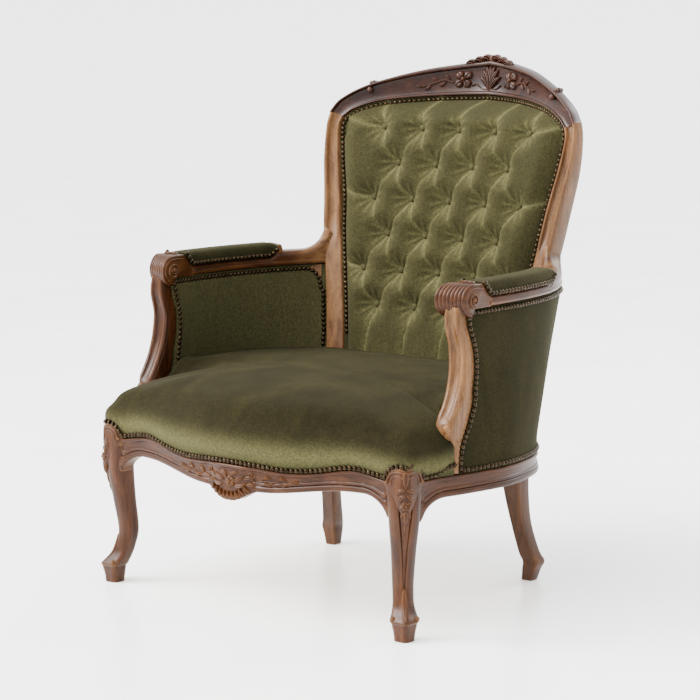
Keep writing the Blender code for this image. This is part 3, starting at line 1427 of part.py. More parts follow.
def build():
    for old in list(bpy.data.objects):
        bpy.data.objects.remove(old, do_unlink=True)
    walnut = material("walnut", (0.20, 0.085, 0.040), 0.38)
    golden_walnut = material("golden_walnut", (0.36, 0.19, 0.085), 0.42)
    beech = material("beech", (0.55, 0.38, 0.22), 0.60)
    velvet = material("olive_velvet", (0.115, 0.110, 0.030), 0.85)
    linen = material("hessian", (0.45, 0.34, 0.20), 0.90)
    calico = material("calico", (0.72, 0.66, 0.50), 0.90)
    jute = material("jute_webbing", (0.42, 0.30, 0.16), 0.90)
    steel = material("spring_steel", (0.30, 0.29, 0.28), 0.40)

    chair = bpy.data.objects.new("chair", None)
    bpy.context.scene.collection.objects.link(chair)
    front_reach = front_y(0.0) - SHELL_RELIEF
    rear_reach = back_front(0.0, crest_rows(2)[-1][3]) + FRAME_DEPTH
    chair.location = (0.0, -(front_reach + rear_reach) / 2, SEAT_FRAME_HEIGHT)

    def solid(name, bm, look):
        return add_object(name, bm, look, chair)

    wood = {
        "front_seat_rail": solid("front_seat_rail", loft(front_rail_rings()), walnut),
        "crest_rail": solid("crest_rail", loft(crest_rings()), walnut),
        "rear_seat_rail": solid("rear_seat_rail", loft(rear_rail_rings()), beech),
        "lower_back_rail": solid("lower_back_rail", loft(lower_rail_rings()), beech),
    }
    front_rail_room = solid("room.front_seat_rail", loft(front_rail_rings(CLEARANCE)), None)
    rear_rail_room = solid("room.rear_seat_rail", loft(rear_rail_rings(CLEARANCE)), None)
    seat = solid("seat_cushion", seat_cushion_mesh(), velvet)
    hessian = solid("seat_hessian", seat_hessian_mesh(), linen)
    cover = solid("dust_cover", dust_cover_mesh(), calico)
    back_pad = solid("back_cushion", back_cushion_mesh(), velvet)
    lining = back_sheet_mesh(PAD_BACK + CLEARANCE, HESSIAN_THICKNESS, LOWER_RAIL_TOP + CLEARANCE)
    back_lining = solid("back_hessian", lining, linen)
    panel = back_sheet_mesh(BACK_PANEL_DEPTH, BACK_PANEL_THICKNESS, CLEARANCE)
    back_panel = solid("outside_back_panel", panel, velvet)
    cut(seat, front_rail_room)

    for name, side in SIDES.items():

        def pair(label, rings, look, strips=False):
            return solid(f"{label}_{name}", loft(side_of(rings, side), strips), look)

        def room(label, rings, strips=False):
            return pair(f"room.{label}", rings, None, strips)

        leg = pair("front_leg", leg_rings(), walnut)
        leg_room = room("front_leg", leg_rings(CLEARANCE))
        stile = pair("rear_leg_stile", rear_leg_rings(), golden_walnut)
        stile_room = room("rear_leg_stile", rear_leg_rings(CLEARANCE))
        rail = pair("side_seat_rail", side_rail_rings(), walnut)
        rail_room = room("side_seat_rail", side_rail_rings(CLEARANCE))
        post = pair("arm_post", arm_post_rings(), golden_walnut)
        post_room = room("arm_post", arm_post_rings(CLEARANCE))
        arm = pair("armrest", armrest_rings(), walnut)
        arm_room = room("armrest", armrest_rings(CLEARANCE))
        stuffing_rail = pair("arm_stuffing_rail", stuffing_rail_rings(), beech)
        inside_pad = pair("inside_arm_pad", inside_pad_rings(), velvet, True)
        pad_room = room("inside_arm_pad", inside_pad_rings(CLEARANCE), True)
        outside_panel = pair("outside_arm_panel", outside_panel_rings(), velvet, True)
        front_block = pair("front_corner_block", block_rings(FRONT_BLOCK, FOOT_Y), beech)
        rear_block = pair("rear_corner_block", block_rings(REAR_BLOCK, 0.0), beech)
        pair("arm_pad", arm_pad_rings(), velvet)

        cut(wood["front_seat_rail"], leg_room)
        for tool in (leg_room, stile_room, post_room, front_rail_room, rear_rail_room):
            cut(rail, tool)
        cut(wood["rear_seat_rail"], stile_room)
        cut(wood["lower_back_rail"], stile_room)
        cut(post, arm_room)
        cut(arm, room("plain_stile", rear_leg_rings(CLEARANCE, cove=0.0)))
        cut(stuffing_rail, stile_room)
        cut(outside_panel, stile_room)
        cut(inside_pad, stile_room, solver="MANIFOLD")
        for tool in (leg_room, rail_room, pad_room, stile_room):
            cut(seat, tool)
        cut(seat, post_room, solver="MANIFOLD")
        cut(hessian, stile_room)
        for piece in (back_pad, back_lining, back_panel):
            cut(piece, stile_room)
        cut(cover, leg_room)
        cut(cover, stile_room)
        for tool in (leg_room, rail_room, front_rail_room):
            cut(front_block, tool)
        for tool in (stile_room, rail_room, rear_rail_room):
            cut(rear_block, tool)

        sided = (leg, stile, rail, post, arm)
        wood.update({piece.name: piece for piece in sided})
        frame_joints(chair, wood, name, side)

    for i in range(len(SPRING_ROWS_X)):
        solid(f"seat_webbing_long_{i + 1}", loft(long_strap_rings(i)), jute)
    for i in range(len(SPRING_ROWS_Y)):
        solid(f"seat_webbing_cross_{i + 1}", loft(cross_strap_rings(i)), jute)
    gaps = []
    for i, x in enumerate(SPRING_ROWS_X):
        for j, y in enumerate(SPRING_ROWS_Y):
            rings, centres = spring_rings(x, y)
            gaps.append(least_gap(centres))
            solid(f"seat_spring_{len(SPRING_ROWS_Y) * i + j + 1}", loft(rings), steel)
    print(f"least gap between turns of a seat spring: {1000 * min(gaps):.1f} mm")

    for i, x in enumerate(BACK_WEB_X):
        solid(f"back_webbing_{i + 1}", loft(back_strap_rings(x)), jute)


build()
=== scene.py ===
"""Looks of the armchair: moulded and carved walnut, buttoned olive velvet, brass dome nails.

The pieces repeat the lines of the solids at a finer step. Heights are measured from the top of the
seat frame, and places across in the tables of side pieces from the centre of a front foot.
"""

import functools
import json
import math

import bmesh
import bpy
import numpy as np
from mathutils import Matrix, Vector

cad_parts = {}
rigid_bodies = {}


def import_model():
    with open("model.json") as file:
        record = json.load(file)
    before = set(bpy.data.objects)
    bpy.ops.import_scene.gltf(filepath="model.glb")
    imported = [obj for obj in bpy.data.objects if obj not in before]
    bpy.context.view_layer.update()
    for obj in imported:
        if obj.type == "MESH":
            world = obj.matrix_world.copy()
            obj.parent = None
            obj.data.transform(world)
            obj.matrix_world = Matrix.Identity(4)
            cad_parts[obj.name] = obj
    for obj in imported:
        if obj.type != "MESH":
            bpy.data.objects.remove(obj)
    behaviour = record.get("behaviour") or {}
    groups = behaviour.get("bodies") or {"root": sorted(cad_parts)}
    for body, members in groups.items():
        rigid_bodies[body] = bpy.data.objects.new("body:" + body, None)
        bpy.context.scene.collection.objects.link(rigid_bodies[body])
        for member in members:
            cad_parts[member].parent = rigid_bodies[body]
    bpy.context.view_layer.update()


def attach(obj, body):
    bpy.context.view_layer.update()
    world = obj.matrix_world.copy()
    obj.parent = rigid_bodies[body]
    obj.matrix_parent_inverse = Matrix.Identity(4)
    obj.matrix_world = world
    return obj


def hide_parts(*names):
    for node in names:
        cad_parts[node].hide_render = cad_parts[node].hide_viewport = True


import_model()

# Sizes of the frame, as in the solids
SEAT_FRAME_HEIGHT = 0.305
HALF_WIDTH = 0.350
FOOT_Y = -0.256
LEG_CORNER_RADIUS = 0.24
LEG_BLOCK_DROP = 0.023
LEG_STATIONS = (
    (0.000, 0.0000, 0.0240),
    (0.050, 0.0000, 0.0300),
    (0.106, 0.0010, 0.0390),
    (0.131, -0.0010, 0.0395),
    (0.177, -0.0115, 0.0330),
    (0.234, -0.0200, 0.0305),
    (0.355, -0.0268, 0.0315),
    (0.550, -0.0193, 0.0365),
    (0.709, -0.0125, 0.0430),
    (0.809, -0.0106, 0.0460),
    (0.894, -0.0140, 0.0490),
    (1.000, -0.0200, 0.0512),
)
RAIL_THICKNESS = 0.044
RAIL_REBATE = 0.008
RAIL_LEDGE = -0.053
NAIL_LINE = -0.029
FRONT_LEAD = 0.006
FRONT_BOW = 0.054
FRONT_END_INSET = 0.020
FRONT_BOW_INSET = 0.015
FRONT_BOTTOM = -0.074
FRONT_ARCH_INSET = 0.105
FRONT_ARCH_RISE = 0.018
FRONT_NAIL_RISE = 0.011
FRONT_NAIL_RISE_RUN = 0.050
FRONT_NAIL_SINK = 0.005
FRONT_NAIL_SINK_X = 0.120
FRONT_NAIL_SINK_RUN = 0.060
SHELL_HALF = 0.062
SHELL_DROP = 0.020
SHELL_RELIEF = 0.010
SIDE_BOTTOM = -0.065
SIDE_PLAN = (
    (0.0105, FOOT_Y + 0.010),
    (0.0140, FOOT_Y + 0.056),
    (0.0345, -0.100),
    (0.0420, 0.000),
    (0.0110, 0.112),
    (-0.0510, 0.190),
    (-0.1180, 0.246),
)
REAR_LEG_STATIONS = (
    (0.000, -0.1185, -0.0960, 0.2435, 0.0230),
    (0.066, -0.1180, -0.0905, 0.2440, 0.0280),
    (0.118, -0.1170, -0.0850, 0.2440, 0.0320),
    (0.180, -0.1225, -0.0920, 0.2380, 0.0305),
    (0.361, -0.1300, -0.1010, 0.2240, 0.0300),
    (0.557, -0.1380, -0.1030, 0.2120, 0.0360),
    (0.770, -0.1450, -0.1030, 0.2050, 0.0430),
    (1.016, -0.1490, -0.1080, 0.2100, 0.0430),
)
STILE_STATIONS = (
    (-0.1510, 0.105, -0.1140, 0.105),
    (-0.1320, 0.210, -0.0960, 0.210),
    (-0.1120, 0.315, -0.0750, 0.313),
    (-0.1000, 0.395, -0.0630, 0.395),
    (-0.0850, 0.465, -0.0510, 0.469),
    (-0.0765, 0.523, -0.0485, 0.528),
    (-0.0820, 0.545, -0.0530, 0.556),
)
CREST_STATIONS = (
    (1.000, 0.000, 1.000, 0.000),
    (0.914, 0.017, 0.925, 0.027),
    (0.746, 0.032, 0.748, 0.056),
    (0.485, 0.040, 0.470, 0.082),
    (0.224, 0.044, 0.209, 0.096),
    (0.000, 0.046, 0.000, 0.105),
)
FRAME_DEPTH = 0.042
FRAME_EDGE = 0.005
BACK_Y = 0.306
BACK_Z = 0.545
BACK_LEAN = 0.19
BACK_BOW = 0.120
BACK_BOW_LOW = 0.080
BACK_HALF_INSET = 0.020
BACK_HALF_LOW_INSET = 0.088
BACK_LOW_Z = 0.105
BACK_HIGH_Z = 0.495
LOWER_RAIL_TOP = 0.081
ARM_PLAN = (
    (0.000, -0.137),
    (0.006, -0.060),
    (0.002, 0.050),
    (-0.018, 0.155),
    (-0.056, 0.243),
    (-0.089, 0.290),
)
ARM_UNDERSIDE = 0.257
ARM_ROLL_RADIUS = 0.029
ARM_ROLL_RISE = 0.015
ARM_TOP_RISE = 0.042
ARM_SADDLE_RISE = 0.019
ARM_REAR_DROP = 0.012
ARM_NECK_RUN = 0.048
ARM_UNDER_NECK_RUN = 0.003
ARM_HALF_WIDTH = 0.023
ARM_ROLL_HALF_WIDTH = 0.026
ARM_REAR_HALF_WIDTH = 0.017
ARM_PAD_START = 0.085
ARM_PAD_END = 0.310
ARM_PAD_CROWN = 0.026
ARM_FLARE_RADIUS = 0.046
POST_FOOT_RISE = 0.003
POST_HEAD_RISE = 0.005
ARM_POST_STATIONS = (
    (0.000, 0.0150, -0.1390, 0.0095, 0.0085),
    (0.105, 0.0150, -0.1390, 0.0100, 0.0095),
    (0.182, 0.0130, -0.1385, 0.0125, 0.0140),
    (0.240, 0.0110, -0.1410, 0.0160, 0.0240),
    (0.287, 0.0075, -0.1375, 0.0185, 0.0275),
    (0.334, 0.0085, -0.1330, 0.0180, 0.0275),
    (0.409, 0.0085, -0.1220, 0.0175, 0.0245),
    (0.510, 0.0070, -0.1140, 0.0175, 0.0185),
    (0.611, 0.0038, -0.1076, 0.0162, 0.0165),
    (0.747, 0.0018, -0.1069, 0.0162, 0.0150),
    (0.882, 0.0024, -0.1180, 0.0160, 0.0160),
    (1.000, 0.0025, -0.1180, 0.0160, 0.0160),
)

# Sizes of the upholstery, as in the solids
SIDE_WALL_INSET = 0.022
INSIDE_PAD_FACE = 0.0215
INSIDE_PAD_BULGE = 0.006
INSIDE_PAD_TAPER = 0.70
INSIDE_PAD_BOTTOM = 0.028
OUTSIDE_PANEL_FACE = 0.018
OUTSIDE_PANEL_THICKNESS = 0.004
OUTSIDE_PANEL_BULGE = 0.004
PANEL_RETURN_THICKNESS = 0.0025
PANEL_RETURN_RISE = 0.012
SEAT_CENTRE_Y = -0.030
SEAT_CROWN = 0.112
SEAT_BULGE = 0.009
SEAT_NOSE = 0.035
SEAT_EAR_Y = -0.150
SEAT_EAR_RUN = 0.034
SEAT_REAR_Y = 0.206
SEAT_REAR_BOW = 0.012
SEAT_REAR_INSET = 0.137
SEAT_GAP = 0.001
SEAT_WALL_Z = 0.050
SEAT_WALL_END = 0.76
SEAT_CORNER_RUN = 0.110
SEAT_CORNER_NOSE = 0.024
SEAT_RINGS = (
    (0.93, 0.68, 0.52, 0.91, 1.5, 0),
    (0.82, 0.81, 0.70, 0.95, 3.0, 2),
    (0.62, 0.92, 0.87, 0.98, 5.0, 8),
    (0.35, 0.98, 0.97, 1.00, 8.0, 16),
    (0.12, 1.00, 1.00, 1.00, 8.0, 16),
)
SEAT_RIM_FRONT = 0.45
SEAT_RIM_CORNER = 0.32
SEAT_RIM_SIDE = 0.86
DUST_SAG = 0.036
DUST_INSET = 0.032
PAD_Y = 0.347
PAD_Z = 0.529
PAD_LEAN = 0.24
PAD_CURVE = 0.4
PAD_EDGE = 0.050
PAD_BACK = 0.020
PAD_RIM = 0.003
TUFT_ROWS = 6
TUFT_TOP_Z = 0.529
TUFT_ROW_PITCH = 0.068
TUFT_PITCH = 0.088
BACK_PANEL_DEPTH = 0.034

# Sizes of what only the looks have
NAIL_RADIUS = 0.0046
NAIL_HEIGHT = 0.0044
NAIL_PITCH = 0.0096
BUTTON_RADIUS = 0.0070
ARM_SLOPE_RUN = 0.026
ARM_LIP_RUN = 0.020
WOOD_SHARP = 38
THIN_SHARP = 60
ROUND_SHARP = 80
DOME_RINGS = ((0.92, -0.35), (1.0, 0.05), (0.93, 0.42), (0.70, 0.76), (0.36, 0.95))
CARVE_SINK = 0.0006
CARVE_ROOT = 0.0030
VEIN_WIDTH = 0.22
PETAL_WIDTH = 0.46
PETAL_PEAK = 0.62

# Sizes of the moulded wood
FRAME_EDGE_SHARE = 0.06
FRAME_THIN_EDGE = 0.022
STILE_MOULDING = ((0.10, 0.09, 0.0034), (0.47, 0.28, -0.0065), (0.86, 0.13, 0.0042))
CREST_MOULDING = ((0.07, 0.06, 0.0034), (0.48, 0.36, -0.0034), (0.91, 0.085, 0.0064))
RAIL_SINK = 0.003
RAIL_BEAD = 0.005
KNEE_RUN = 0.060
KNEE_DROP = 0.043
FRONT_KNEE_RELIEF = 0.006
SIDE_KNEE_RELIEF = 0.003
LEG_BLOCK_SIDE = 0.040
LEG_PANEL_SINK = 0.0026
LEG_BAND_LIFT = 0.0026
CARTOUCHE_HALF = 0.0308
CARTOUCHE_FOOT = -0.092
CARTOUCHE_STEM = 0.0080
CARTOUCHE_DIP = 0.0035
CARTOUCHE_LOW = -0.027
CARTOUCHE_RISE = 0.025
CARTOUCHE_LIFT = 0.0042
FOOT_BLOCK_HEIGHT = 0.030
FOOT_BLOCK_LIFT = 0.0030
FOOT_COLLAR_LIFT = 0.0013
FOOT_COLLAR_STEP = 0.005
FOOT_COLLAR_RUN = 0.030
ARM_GOLDEN_Y = 0.17
ARM_GOLDEN_RUN = 0.10
# Palettes of the arm posts: the right post takes the darker leg palette as painted shade.
POST_LOOKS_WITH_SHADE = {"left": "stile", "right": "leg"}
# Golden share left at the rear feet, and the run over which it falls: painted shade below the seat frame.
REAR_FOOT_GOLDEN_IN_SHADE = 0.15
REAR_SHADE_RUN = 0.10
ARM_REEDS = 8
ARM_REED_DEPTH = 0.0017
ARM_EDGE_RADIUS = 0.010
ARM_CHEEK_EDGE = 0.0035
ARM_NOSE_TURN = 0.011
POST_VELVET_STEP = 0.003
KNOB_X = 0.222
ROLL_LENGTH = 0.022
ROLL_RADIUS = 0.0060
CLEARANCE = 0.0003
ROOT_HALF = math.sqrt(0.5)
OUTWARDS = Vector((ROOT_HALF, -ROOT_HALF))
ACROSS = Vector((ROOT_HALF, ROOT_HALF))
FRAME_BACK_SHARES = (1.0, 0.98, 0.92, 0.80, 0.66, 0.52, 0.30, 0.08, 0.02, 0.0)
FRAME_BACK_EDGE_SHARE = 0.08
FRAME_BEVEL_START = 0.40
STILE_FADE_RUN = 0.050
CREST_FACE_SINK = 0.0026
ROLL_END = 0.35
ROLL_GROOVE = 0.2
FOOT_BALL_RADIUS = 0.0052
FOOT_BALL_SHARE = 0.86
FOOT_BALL_RISE = 0.004
CARTOUCHE_ROOT = 0.010
POST_MOULDING = ((0.66, 0.22, 0.0024), (-0.66, 0.22, 0.0024), (0.0, 0.44, -0.0046))
POST_PEARL_X = 0.014
POST_PEARL_SHARE = 0.275
POST_LEAF_SHARE = 0.245
ARM_BEAD = ((0.006, 0.0045, 0.0018),)

# Carvings: spines of places across and up, mostly with a half width and a height
FOOT_LEAF = ((0.0, 0.055), (0.0, 0.028), (0.0, 0.002))
POST_LEAVES = ((0.024, 0.16), (-0.004, 0.17), (0.011, 0.10))
NECK_LEAVES = ((0.0, 0.026), (0.011, 0.020), (-0.011, 0.020))
CARTOUCHE_FLOWER = (0.0, -0.066)
CARTOUCHE_STEMS = (
    (((0.001, -0.010), (0.011, -0.008), (0.022, -0.014), (0.0285, -0.029)), 0.0024, 0.0030),
    (((0.004, -0.018), (0.012, -0.015), (0.020, -0.021), (0.022, -0.032)), 0.0016, 0.0020),
)
CARTOUCHE_LEAVES = (
    (((0.001, -0.038), (0.008, -0.040), (0.012, -0.048)), 0.0036, 0.0034),
    (((0.001, -0.046), (0.007, -0.052), (0.008, -0.060)), 0.0032, 0.0034),
    (((0.001, -0.078), (0.006, -0.083), (0.005, -0.092)), 0.0028, 0.0028),
)
CARTOUCHE_MIDDLE = (
    (((0.0, -0.006), (0.0, -0.020), (0.0, -0.036)), 0.0046, 0.0046),
    (((0.0, -0.074), (0.0, -0.086), (0.0, -0.100)), 0.0044, 0.0040),
    (((0.0, -0.099), (0.0, -0.108), (0.0, -0.118)), 0.0032, 0.0030),
    (((0.0, -0.117), (0.0, -0.124), (0.0, -0.131)), 0.0022, 0.0024),
)
PALMETTE_STEM = ((((0.0, 0.004), (0.0, 0.012), (0.0, 0.020)), 0.0024, 0.0044),)
PALMETTE_MIDDLE = ((((0.0, 0.016), (0.0, 0.034), (0.0, 0.062)), 0.0066, 0.0084),)
PALMETTE_LEAVES = ((0.010, 0.058, 0.0052), (0.019, 0.050, 0.0056), (0.026, 0.037, 0.0052))
CREST_STEMS = (
    (((0.003, 0.012), (0.018, 0.013), (0.030, 0.021), (0.040, 0.018)), 0.0020, 0.0036),
    (((0.078, 0.024), (0.096, 0.028), (0.114, 0.021), (0.134, 0.015)), 0.0020, 0.0034),
)
CREST_BUDS = (
    (0.084, 0.026, 0.095, 0.037),
    (0.092, 0.026, 0.103, 0.016),
    (0.106, 0.024, 0.118, 0.031),
    (0.118, 0.020, 0.129, 0.008),
    (0.130, 0.016, 0.144, 0.016),
)
FINIAL_LEAVES = ((0.002, 0.022, 0.001), (0.018, 0.040, 0.005), (0.034, 0.058, 0.011))
SHELL_LEAF_HEIGHT = 0.0046
SHELL_LEAVES = (
    (((0.004, -0.052), (0.012, -0.044), (0.024, -0.042)), 0.0042),
    (((0.012, -0.058), (0.024, -0.054), (0.034, -0.046)), 0.0042),
    (((0.014, -0.066), (0.028, -0.066), (0.040, -0.058)), 0.0044),
    (((0.034, -0.052), (0.046, -0.050), (0.056, -0.056)), 0.0040),
    (((0.038, -0.062), (0.050, -0.063), (0.058, -0.070)), 0.0040),
    (((0.068, -0.052), (0.078, -0.046), (0.090, -0.048)), 0.0036),
    (((0.074, -0.056), (0.086, -0.059), (0.096, -0.054)), 0.0034),
    (((0.100, -0.050), (0.110, -0.046), (0.120, -0.049)), 0.0034),
    (((0.106, -0.055), (0.117, -0.057), (0.127, -0.052)), 0.0032),
    (((0.126, -0.050), (0.136, -0.049), (0.146, -0.050)), 0.0026),
)
SHELL_TRAIL = ((((0.052, -0.058), (0.076, -0.053), (0.104, -0.053), (0.138, -0.050)), 0.0012, 0.0026),)

# Sizes of the velvet
SEAT_ROUNDING = 0.006
SEAT_EAR_STEP = 0.012
SEAT_EAR_TURN = 0.010
SEAT_FINER = 10
SEAT_LAYERS = 41
STUFFING_RAIL_HALF = 0.010
INSIDE_PAD_EDGE = 0.004
WALL_LAP = 0.022
ARM_PAD_OVERHANG = 0.0015
PAD_GAP = 0.0006
PAD_RIM_FLAT = 0.0085
PAD_ROLL = 0.45
PILLOW_HEIGHT = 0.0275
PILLOW_RADIUS = 0.026
PILLOW_FLOOR = 0.20
FOLD_DEPTH = 0.0065
FOLD_WIDTH = 0.0030
FOLD_BROAD = 0.0032
FOLD_BROAD_WIDTH = 0.017
FOLD_SAG = 0.007
FOLD_STEPS = 6
WRINKLES = 9
WRINKLE_HEIGHT = 0.0006
WRINKLE_REACH = 0.018
WRINKLE_SPREAD = 0.011
BUTTON_HEIGHT = 0.0055
# Share of painted light on the buttons, against the shade in their dimples.
BUTTON_PAINTED_LIGHT = 0.5
# Even painted light on the side pieces: most on the inside pads, against the shade that the back and seat
# cast there.
INSIDE_PAINTED_LIGHT = 0.40
OUTSIDE_PAINTED_LIGHT = 0.03
PAD_PAINTED_LIGHT = 0.06
BACK_PANEL_THICKNESS = 0.006
BACK_PANEL_BOTTOM = -0.040
REAR_RAIL_INSET = 0.130
REAR_RAIL_THICKNESS = 0.030
WEB_THICKNESS = 0.0016
SHEET_THICKNESS = 0.0012
# Painted sheen on the buttoned back: highlights on folds and wrinkles, in the hollows by the buttons, and
# painted light over the whole back.
FOLD_PAINTED_SHEEN = 0.80
FOLD_SHEEN_WIDTH = 0.0039
WRINKLE_PAINTED_SHEEN = 0.32
BACK_PAINTED_LIGHT = 0.20
HOLLOW_PAINTED_SHEEN = 0.22
BUTTON_PROUD = 0.0040
BUTTON_SPLAY = 0.6
BUTTON_TILT = 0.22
SEAT_NOSE_LOW = 0.45
SEAT_NOSE_HIGH = 0.90
SEAT_TURN_UNDER = 0.012
# Painted highlight along the seat's front edge: its share, the layer where it is strongest and its spread.
SEAT_PAINTED_SHEEN = 0.75
SEAT_SHEEN_AT = 0.9
SEAT_SHEEN_SPREAD = 0.8
BACK_PANEL_BULGE = 0.003

# Sizes of the nail rows
SIDE_NAIL_RISE = 0.014
SIDE_NAIL_RISE_RUN = 0.055
PANEL_EDGE = 0.007
PANEL_LOW = 0.085
PANEL_FRONT = -0.010
PANEL_CORNER = 0.036
PANEL_END = 0.985
INSIDE_FRONT = -0.018
BACK_NAIL_GAP = 0.0012
BACK_NAIL_LOW = 0.13
BACK_NAIL_DROP = 0.004
BACK_NAIL_SHARE = 0.985

# Looks of the carried-over pieces, and the stage and camera
CARRIED = {
    "rail_front": ("rear_seat_rail", "lower_back_rail"),
    "beech_lengthways": ("arm_stuffing_rail", "front_corner_block", "rear_corner_block"),
    "jute": ("seat_webbing", "back_webbing"),
    "hessian": ("seat_hessian", "back_hessian"),
    "steel": ("seat_spring",),
}
FLOOR_REACH = 90.0
CAMERA_AZIMUTH = math.radians(39.94)
CAMERA_ELEVATION = math.radians(8.41)
CAMERA_DISTANCE = 4.978
CAMERA_TARGET = Vector((0.0136, 0.0, 0.4452))
SENSOR = 36.0
LENS = 138.44

SIDES = {"left": 1, "right": -1}


# Small maths


def mix(a, b, t):
    return a + (b - a) * t


def smooth(t):
    t = min(1.0, max(0.0, t))
    return t * t * (3 - 2 * t)


def spline(points, t):
    """Point at t in 0..1 on a smooth curve through the points, of any dimension."""
    last = len(points) - 1
    place = min(max(t, 0.0), 1.0) * last
    i = min(int(place), last - 1)
    f = place - i
    p1, p2 = points[i], points[i + 1]
    p0 = points[i - 1] if i > 0 else [2 * a - b for a, b in zip(p1, p2)]
    p3 = points[i + 2] if i + 2 <= last else [2 * b - a for a, b in zip(p1, p2)]
    return [
        0.5 * (2 * b + (c - a) * f + (2 * a - 5 * b + 4 * c - d) * f**2 + (3 * b - a - 3 * c + d) * f**3)
        for a, b, c, d in zip(p0, p1, p2, p3)
    ]


def resample(points, count):
    return [spline(points, i / (count - 1)) for i in range(count)]


def evenly(points, count, curved=True):
    """Points at even distances along the line through the points, and its length."""
    fine = [Vector(p) for p in (resample(points, 300) if curved else points)]
    run = [0.0]
    for a, b in zip(fine, fine[1:]):
        run.append(run[-1] + (b - a).length)
    even = []
    j = 0
    for i in range(count):
        want = run[-1] * i / (count - 1)
        while j < len(run) - 2 and run[j + 1] < want:
            j += 1
        even.append(fine[j].lerp(fine[j + 1], (want - run[j]) / (run[j + 1] - run[j])))
    return even, run[-1]


def normals(line):
    """Outward normals of a plan line that runs anticlockwise round the seat."""
    found = []
    for i in range(len(line)):
        d = line[min(i + 1, len(line) - 1)] - line[max(i - 1, 0)]
        found.append(Vector((d.y, -d.x)).normalized())
    return found


def raised(s, features):
    """Height of a moulded profile at s; each feature has a centre, a half width and a height."""
    total = 0.0
    for centre, half, height in features:
        t = (s - centre) / half
        if abs(t) < 1:
            total += height * math.sqrt(1 - t * t)
    return total


def circle(count):
    """Cosine and sine of even turns round a circle."""
    turns = [2 * math.pi * k / count for k in range(count)]
    return [(math.cos(turn), math.sin(turn)) for turn in turns]


# Lines and surfaces of the chair


def outward(rows, *columns):
    return [[v + HALF_WIDTH if i in columns else v for i, v in enumerate(row)] for row in rows]


def front_y(x):
    share = min(1.0, abs(x) / (HALF_WIDTH - FRONT_BOW_INSET))
    return FOOT_Y - FRONT_LEAD - FRONT_BOW * math.cos(share * math.pi / 2) ** 2


def front_nail_line(x):
    arch_x = HALF_WIDTH - FRONT_ARCH_INSET
    rise = math.exp(-(((abs(x) - arch_x) / FRONT_NAIL_RISE_RUN) ** 2))
    sink = math.exp(-(((abs(x) - FRONT_NAIL_SINK_X) / FRONT_NAIL_SINK_RUN) ** 2))
    return NAIL_LINE + FRONT_NAIL_RISE * rise - FRONT_NAIL_SINK * sink


@functools.cache
def side_line(count):
    return evenly(outward(SIDE_PLAN, 0), count)


def at_y(line, y):
    """Point and outward normal, at one y, of a plan line that runs from front to back."""
    across = normals(line)
    for i in range(len(line) - 1):
        a, b = line[i], line[i + 1]
        if y <= b.y or i == len(line) - 2:
            share = min(1.0, max(0.0, (y - a.y) / (b.y - a.y)))
            return a.lerp(b, share), across[i].lerp(across[i + 1], share).normalized()


def back_share(z):
    return min(1.0, max(0.0, (z - BACK_LOW_Z) / (BACK_HIGH_Z - BACK_LOW_Z)))


def back_front(x, z):
    """Y of the back frame's front face."""
    half = HALF_WIDTH - mix(BACK_HALF_LOW_INSET, BACK_HALF_INSET, back_share(z))
    share = min(1.0, abs(x) / half)
    bow = mix(BACK_BOW_LOW, BACK_BOW, back_share(z))
    return BACK_Y + BACK_LEAN * (z - BACK_Z) + bow * (0.5 + 0.5 * math.cos(math.pi * share))


@functools.cache
def stile_rows(count):
    return resample(outward(STILE_STATIONS, 0, 2), count)


@functools.cache
def crest_rows(count):
    xi, zi, xo, zo = stile_rows(2)[-1]
    rows = [(xi * a, zi + up, xo * b, zo + rise) for a, up, b, rise in CREST_STATIONS]
    return resample(rows, count)


@functools.cache
def rows_table(rows):
    return np.array(rows(60))


def stile_edge(z, column):
    """X of the stile's inner (column 0) or outer (column 2) edge at a height."""
    table = rows_table(stile_rows)
    return float(np.interp(z, table[:, column + 1], table[:, column]))


def back_inner_x(z):
    """Half width of the opening in the back frame at a height."""
    return stile_edge(z, 0)


def back_inner_top(x):
    """Height of the crest's lower edge over a place across the back."""
    table = rows_table(crest_rows)[::-1]
    return float(np.interp(abs(x), table[:, 0], table[:, 1]))


@functools.cache
def arm_line(count):
    return evenly(outward(ARM_PLAN, 0), count)


def arm_at(run):
    """Point and outward normal of the arm's centre line at a distance from its front."""
    line, length = arm_line(81)
    across = normals(line)
    place = run / length * (len(line) - 1)
    i = min(int(place), len(line) - 2)
    return line[i].lerp(line[i + 1], place - i), across[i].lerp(across[i + 1], place - i).normalized()


def roll_height(run):
    return math.sqrt(max(0.0, ARM_ROLL_RADIUS**2 - (ARM_ROLL_RADIUS - run) ** 2))


def arm_underside(run):
    """Underside of the arm, round under the front roll and level behind it."""
    roll = ARM_UNDERSIDE + ARM_ROLL_RISE
    if run < ARM_ROLL_RADIUS:
        return roll - roll_height(run)
    return mix(roll - ARM_ROLL_RADIUS, ARM_UNDERSIDE, smooth((run - ARM_ROLL_RADIUS) / ARM_UNDER_NECK_RUN))


def arm_top(run):
    """Top of the arm before its sweep: roll, neck with a sloped end, saddle for the pad and the rear end."""
    roll = ARM_UNDERSIDE + ARM_ROLL_RISE
    if run < ARM_ROLL_RADIUS:
        return roll + roll_height(run)
    neck = smooth((run - ARM_ROLL_RADIUS) / ARM_NECK_RUN)
    level = mix(roll + ARM_ROLL_RADIUS, ARM_UNDERSIDE + ARM_TOP_RISE, neck)
    saddle = ARM_UNDERSIDE + ARM_SADDLE_RISE
    if run < ARM_PAD_END - ARM_LIP_RUN:
        return mix(level, saddle, smooth((run - ARM_PAD_START + ARM_SLOPE_RUN) / ARM_SLOPE_RUN))
    rear = ARM_UNDERSIDE + ARM_TOP_RISE - ARM_REAR_DROP
    return mix(saddle, rear, smooth((run - ARM_PAD_END + ARM_LIP_RUN) / ARM_LIP_RUN))


